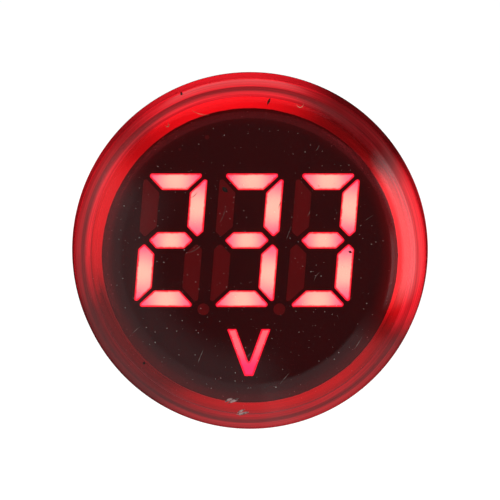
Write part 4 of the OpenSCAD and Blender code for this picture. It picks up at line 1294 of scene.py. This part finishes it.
def component(name, dark, pale, rough, size, low=None, high=None, bands=None, depth=0.3):
    """A moulded or coated component: mottled body, fine grain, tinned leads outside its box, and bands."""
    material, t, p, where = finish(name)
    mottle = noise(t, where, 500.0, 3.0)
    body = blended(t, ramped(t, mottle, 0.3, 0.7), dark, pale)
    split = wire(t, "ShaderNodeSeparateXYZ", {0: where})
    for start, width, colour in bands or []:
        off = calc(t, "ABSOLUTE", plus(t, split.outputs[1], (start + width / 2) * MM))
        body = blended(t, ramped(t, off, (width / 2 + 0.03) * MM, (width / 2 - 0.03) * MM), body, colour)
    grain = grain_at(t, where, size, depth)
    shine = ramped(t, grain.outputs["Height"], 0.3, 0.7, rough - 0.06, rough + 0.06)
    if low:
        lead = outside_box(t, where, low, high)
        body = blended(t, lead, body, TIN)
        shine = plus(t, times(t, shine, calc(t, "SUBTRACT", 1.0, lead)), times(t, lead, 0.28))
        feed(p, "Metallic", lead)
    feed(p, "Base Color", body)
    feed(p, "Roughness", shine)
    feed(p, "Normal", grain.outputs["Normal"])
    return material


def board_material():
    """Green solder mask over copper tracks, with tinned pads where things are soldered."""
    material, t, p, where = finish("circuit_board")
    flow = wire(t, "ShaderNodeTexVoronoi", {"Vector": where, "Scale": 260.0}, distance="MANHATTAN")
    tracks = wire(t, "ShaderNodeMath", {0: times(t, flow.outputs["Distance"], 5.0), 1: 1.0},
                  operation="PINGPONG").outputs[0]
    copper = ramped(t, tracks, 0.55, 0.68)
    pads = wire(t, "ShaderNodeTexVoronoi", {"Vector": where, "Scale": 330.0, "Randomness": 0.6})
    pad = calc(t, "LESS_THAN", pads.outputs["Distance"], 0.17)
    weave = noise(t, where, 2400.0, 2.0)
    mask = blended(t, weave, (0.010, 0.085, 0.030, 1), (0.018, 0.120, 0.045, 1))
    mask = blended(t, copper, mask, (0.035, 0.24, 0.085, 1))
    feed(p, "Base Color", blended(t, pad, mask, TIN))
    feed(p, "Metallic", pad)
    feed(p, "Roughness", ramped(t, weave, 0.3, 0.7, 0.28, 0.42))
    relief = plus(t, copper, times(t, pad, 1.5))
    feed(p, "Normal", wire(t, "ShaderNodeBump",
                           {"Strength": 0.6, "Distance": 0.03 * MM, "Height": relief}).outputs[0])
    return material


def dressed(node, material):
    """Gives a measured solid, which stays as it is, its finish."""
    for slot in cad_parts[node].material_slots:
        slot.material = material
    print(node, "finished as", material.name)


BOARD = board_material()
BROWN, BLACK = (0.13, 0.045, 0.02, 1), (0.012, 0.012, 0.012, 1)
ORANGE, GOLD = (0.72, 0.20, 0.02, 1), (0.62, 0.42, 0.12, 1)
dressed("display_board", BOARD)
dressed("power_board", BOARD)
dressed("driver_chip", component("driver_epoxy", (0.016, 0.016, 0.017, 1), (0.028, 0.028, 0.030, 1), 0.5,
                                 0.1, (-3, -7.15, 1.0), (3, -3.25, 2.5)))
dressed("bridge_rectifier", component("rectifier_epoxy", (0.018, 0.018, 0.018, 1), (0.032, 0.032, 0.033, 1),
                                      0.45, 0.1, (-7.5, -2.9, -10.8), (-3.7, -0.6, -6.1),
                                      [(-6.9, 0.35, (0.55, 0.55, 0.52, 1))]))
dressed("smoothing_capacitor", component("capacitor_sleeve", (0.010, 0.018, 0.060, 1),
                                         (0.016, 0.028, 0.085, 1), 0.3, 0.4, (-3.15, -7.0, -14.8),
                                         (3.15, -0.6, -3.8), [(-4.9, 1.1, (0.60, 0.60, 0.62, 1))], 0.15))
dressed("dropper_capacitor", component("film_case", (0.42, 0.24, 0.035, 1), (0.52, 0.31, 0.055, 1), 0.34,
                                       0.3, depth=0.2))
dressed("surge_disc", component("disc_epoxy", (0.02, 0.07, 0.30, 1), (0.035, 0.10, 0.38, 1), 0.3, 0.5,
                                (-3.4, 1.5, -22), (3.4, 9, -18), depth=0.5))
dressed("drop_resistors", component("resistor_enamel", (0.50, 0.38, 0.22, 1), (0.60, 0.47, 0.29, 1), 0.32,
                                    0.2, (-6, -3, -23.1), (6, -0.61, -17.1),
                                    [(-22.6, 0.5, BROWN), (-21.6, 0.4, BLACK), (-20.8, 0.4, ORANGE),
                                     (-18.3, 0.5, GOLD)]))
dressed("led_chips", component("led_ceramic", (0.80, 0.76, 0.62, 1), (0.88, 0.80, 0.45, 1), 0.4, 0.08))
dressed("header_block", component("header_plastic", (0.015, 0.015, 0.015, 1), (0.025, 0.025, 0.025, 1),
                                  0.45, 0.15))


def gold_material():
    """A gold flash over drawn pins."""
    material, t, p, where = finish("gold_flash", Metallic=1.0)
    drawn = wire(t, "ShaderNodeMapping", {"Vector": where, "Scale": (7000.0, 400.0, 7000.0)})
    lines = noise(t, drawn.outputs[0], 1.0, 2.0)
    feed(p, "Base Color", blended(t, lines, (0.80, 0.56, 0.20, 1), (0.92, 0.70, 0.32, 1)))
    feed(p, "Roughness", ramped(t, lines, 0.3, 0.7, 0.18, 0.32))
    return material


dressed("header_pins", gold_material())

# %% [markdown]
# ## Studio
# A pale floor and a white room, which the camera sees as plain white. A glossy red cap mirrors the room too,
# so what it mirrors is drawn softly into the room: a broad dim card low on the left, a tall bright panel on
# the right and a strip overhead. The lamps only light; they leave no hard-edged image of themselves.

# %% Floor, room and lamps
def floor_material():
    """A pale floor that the camera sees as white but for the shadow."""
    material, t, p, where = finish("floor_white", Roughness=0.6)
    mottle = noise(t, where, 30.0, 2.0)
    feed(p, "Base Color", blended(t, mottle, (0.93, 0.93, 0.93, 1), (0.96, 0.96, 0.96, 1)))
    white = wire(t, "ShaderNodeEmission", {"Color": (1, 1, 1, 1), "Strength": 1.16})
    light = wire(t, "ShaderNodeLightPath")
    seen = times(t, calc(t, "MAXIMUM", light.outputs["Is Camera Ray"],
                         light.outputs["Is Transmission Ray"]), 0.85)
    mix = wire(t, "ShaderNodeMixShader", {0: seen, 1: p.outputs[0], 2: white.outputs[0]})
    # what glossy pieces mirror, on either face of their plastic, is the room alone
    inside = times(t, light.outputs["Is Transmission Ray"],
                   calc(t, "GREATER_THAN", light.outputs["Glossy Depth"], 0.5))
    clear = wire(t, "ShaderNodeBsdfTransparent")
    last = wire(t, "ShaderNodeMixShader", {0: calc(t, "MAXIMUM", light.outputs["Is Glossy Ray"], inside),
                                           1: mix.outputs[0], 2: clear.outputs[0]})
    t.links.new(last.outputs[0], t.nodes["Material Output"].inputs["Surface"])
    return material


FLOOR_Z, FLOOR_SIDE, FLOOR_FRONT = -0.045, 3.0, -0.16
cells = 8
bm = bmesh.new()
bmesh.ops.create_grid(bm, x_segments=cells, y_segments=cells, size=FLOOR_SIDE / 2)
bmesh.ops.translate(bm, verts=bm.verts, vec=(0, FLOOR_FRONT + FLOOR_SIDE / 2, FLOOR_Z))
floor_mesh = bpy.data.meshes.new("floor")
bm.to_mesh(floor_mesh)
bm.free()
floor = bpy.data.objects.new("floor", floor_mesh)
bpy.context.scene.collection.objects.link(floor)
floor_mesh.materials.append(floor_material())

TILT, DISTANCE = math.radians(5.75), 0.300      # the camera's height above the axis, and its distance

world = bpy.data.worlds.new("white_room")
bpy.context.scene.world = world
world.use_nodes = True
room = world.node_tree
way = wire(room, "ShaderNodeTexCoord").outputs["Generated"]


def share_along(direction):
    """How far the way out into the room goes along a direction, from -1 to 1."""
    return wire(room, "ShaderNodeVectorMath", {0: way, 1: direction},
                operation="DOT_PRODUCT").outputs["Value"]


# the flat front of the cap mirrors this direction; the other two are across and up from it
back_out = share_along((0, -math.cos(TILT), -math.sin(TILT)))
across_out, up_out = share_along((1, 0, 0)), share_along((0, -math.sin(TILT), math.cos(TILT)))
off_axis = times(room, calc(room, "ARCCOSINE", back_out), 180 / math.pi)
radius_out = calc(room, "MAXIMUM", calc(room, "SINE", calc(room, "ARCCOSINE", back_out)), 0.001)


def lobe(middle, half, soft, near, near_soft, far, far_soft, value):
    """A soft patch, by degrees round from the right and degrees off what the flat front mirrors."""
    a = math.radians(middle)
    facing = calc(room, "DIVIDE", plus(room, times(room, across_out, math.cos(a)),
                                       times(room, up_out, math.sin(a))), radius_out)
    round_about = ramped(room, facing, math.cos(math.radians(half + soft)),
                         math.cos(math.radians(half - soft)))
    begins = ramped(room, off_axis, near - near_soft, near + near_soft)
    ends = ramped(room, off_axis, far - far_soft, far + far_soft, 1.0, 0.0)
    return times(room, times(room, round_about, begins), times(room, ends, value))


level = times(room, ramped(room, off_axis, 12, 40, 0.09, 0.045),
              ramped(room, off_axis, 132, 156, 1.0, 0.05))
LOW_LEFT = (214, 66, 12, 8.2, 1.5, 116, 30, 0.26)
LOW_EDGE, LOW_RIGHT = (240, 90, 8, 10.6, 0.15, 116, 30, 0.17), (300, 24, 4, 10.6, 0.15, 116, 30, 0.22)
TOP, BACK_TOP = (112, 58, 14, 80, 6, 104, 14, 0.32), (97, 26, 8, 116, 8, 154, 8, 0.42)
RIGHT_NEAR, RIGHT = (-6, 13, 5, 15.5, 1.6, 26, 8, 0.7), (5, 24, 6, 30, 6, 118, 30, 0.7)
RIGHT_CORE = (8, 24, 7, 48, 8, 92, 7, 1.7)
for patch in (LOW_LEFT, LOW_EDGE, LOW_RIGHT, TOP, BACK_TOP, RIGHT_NEAR, RIGHT, RIGHT_CORE):
    level = plus(room, level, lobe(*patch))
light = wire(room, "ShaderNodeLightPath")
# clear pieces show the white behind them; light thrown back inside the plastic meets it only behind the cap
bounces = plus(room, light.outputs["Glossy Depth"], light.outputs["Diffuse Depth"])
straight = calc(room, "MAXIMUM", calc(room, "LESS_THAN", bounces, 0.5), ramped(room, off_axis, 98, 114))
seen = calc(room, "MAXIMUM", light.outputs["Is Camera Ray"],
            times(room, light.outputs["Is Transmission Ray"], straight))
background = room.nodes["Background"]
background.inputs["Color"].default_value = (1, 1, 1, 1)
room.links.new(plus(room, seen, times(room, calc(room, "SUBTRACT", 1.0, seen), level)),
               background.inputs["Strength"])


def soft_box(name, place, target, size, radiance):
    """A rectangular lamp, as bright as a surface of that radiance."""
    lamp = bpy.data.lights.new(name, "AREA")
    lamp.shape, lamp.size, lamp.size_y = "RECTANGLE", size[0], size[1]
    lamp.energy = radiance * math.pi * size[0] * size[1]
    obj = bpy.data.objects.new(name, lamp)
    obj.location = place
    obj.rotation_euler = (Vector(target) - Vector(place)).to_track_quat("-Z", "Y").to_euler()
    obj.visible_camera = obj.visible_glossy = False
    bpy.context.scene.collection.objects.link(obj)
    return obj


soft_box("overhead", (-0.10, 0.20, 0.70), (0, 0, 0), (1.0, 1.1), 0.9)
soft_box("left_card", (-0.55, -0.40, 0.05), (0, 0, 0), (0.8, 0.6), 0.7)
soft_box("right_panel", (0.50, -0.42, 0.10), (0, 0, 0), (0.7, 0.5), 1.0)
soft_box("front_fill", (0, -0.80, 0.30), (0, 0, 0), (0.9, 0.4), 0.9)
soft_box("back_light", (-0.25, 0.60, 0.35), (0, 0.02, 0), (0.6, 0.5), 1.6)

# %% [markdown]
# The camera is about 300 mm in front, a little above the axis, with a long lens: the head fills the frame and
# its rim stays round.

# %% Camera
camera = bpy.data.objects.new("camera", bpy.data.cameras.new("camera"))
bpy.context.scene.collection.objects.link(camera)
bpy.context.scene.camera = camera
aim = at(0.0, 0.08, 6.0)
camera.location = aim + Vector((0, -math.cos(TILT), math.sin(TILT))) * DISTANCE
camera.rotation_euler = (aim - camera.location).to_track_quat("-Z", "Y").to_euler()
camera.data.lens = 265.4
camera.data.sensor_width = 36
camera.data.clip_start = 0.01
bpy.context.scene.view_settings.view_transform = "Standard"
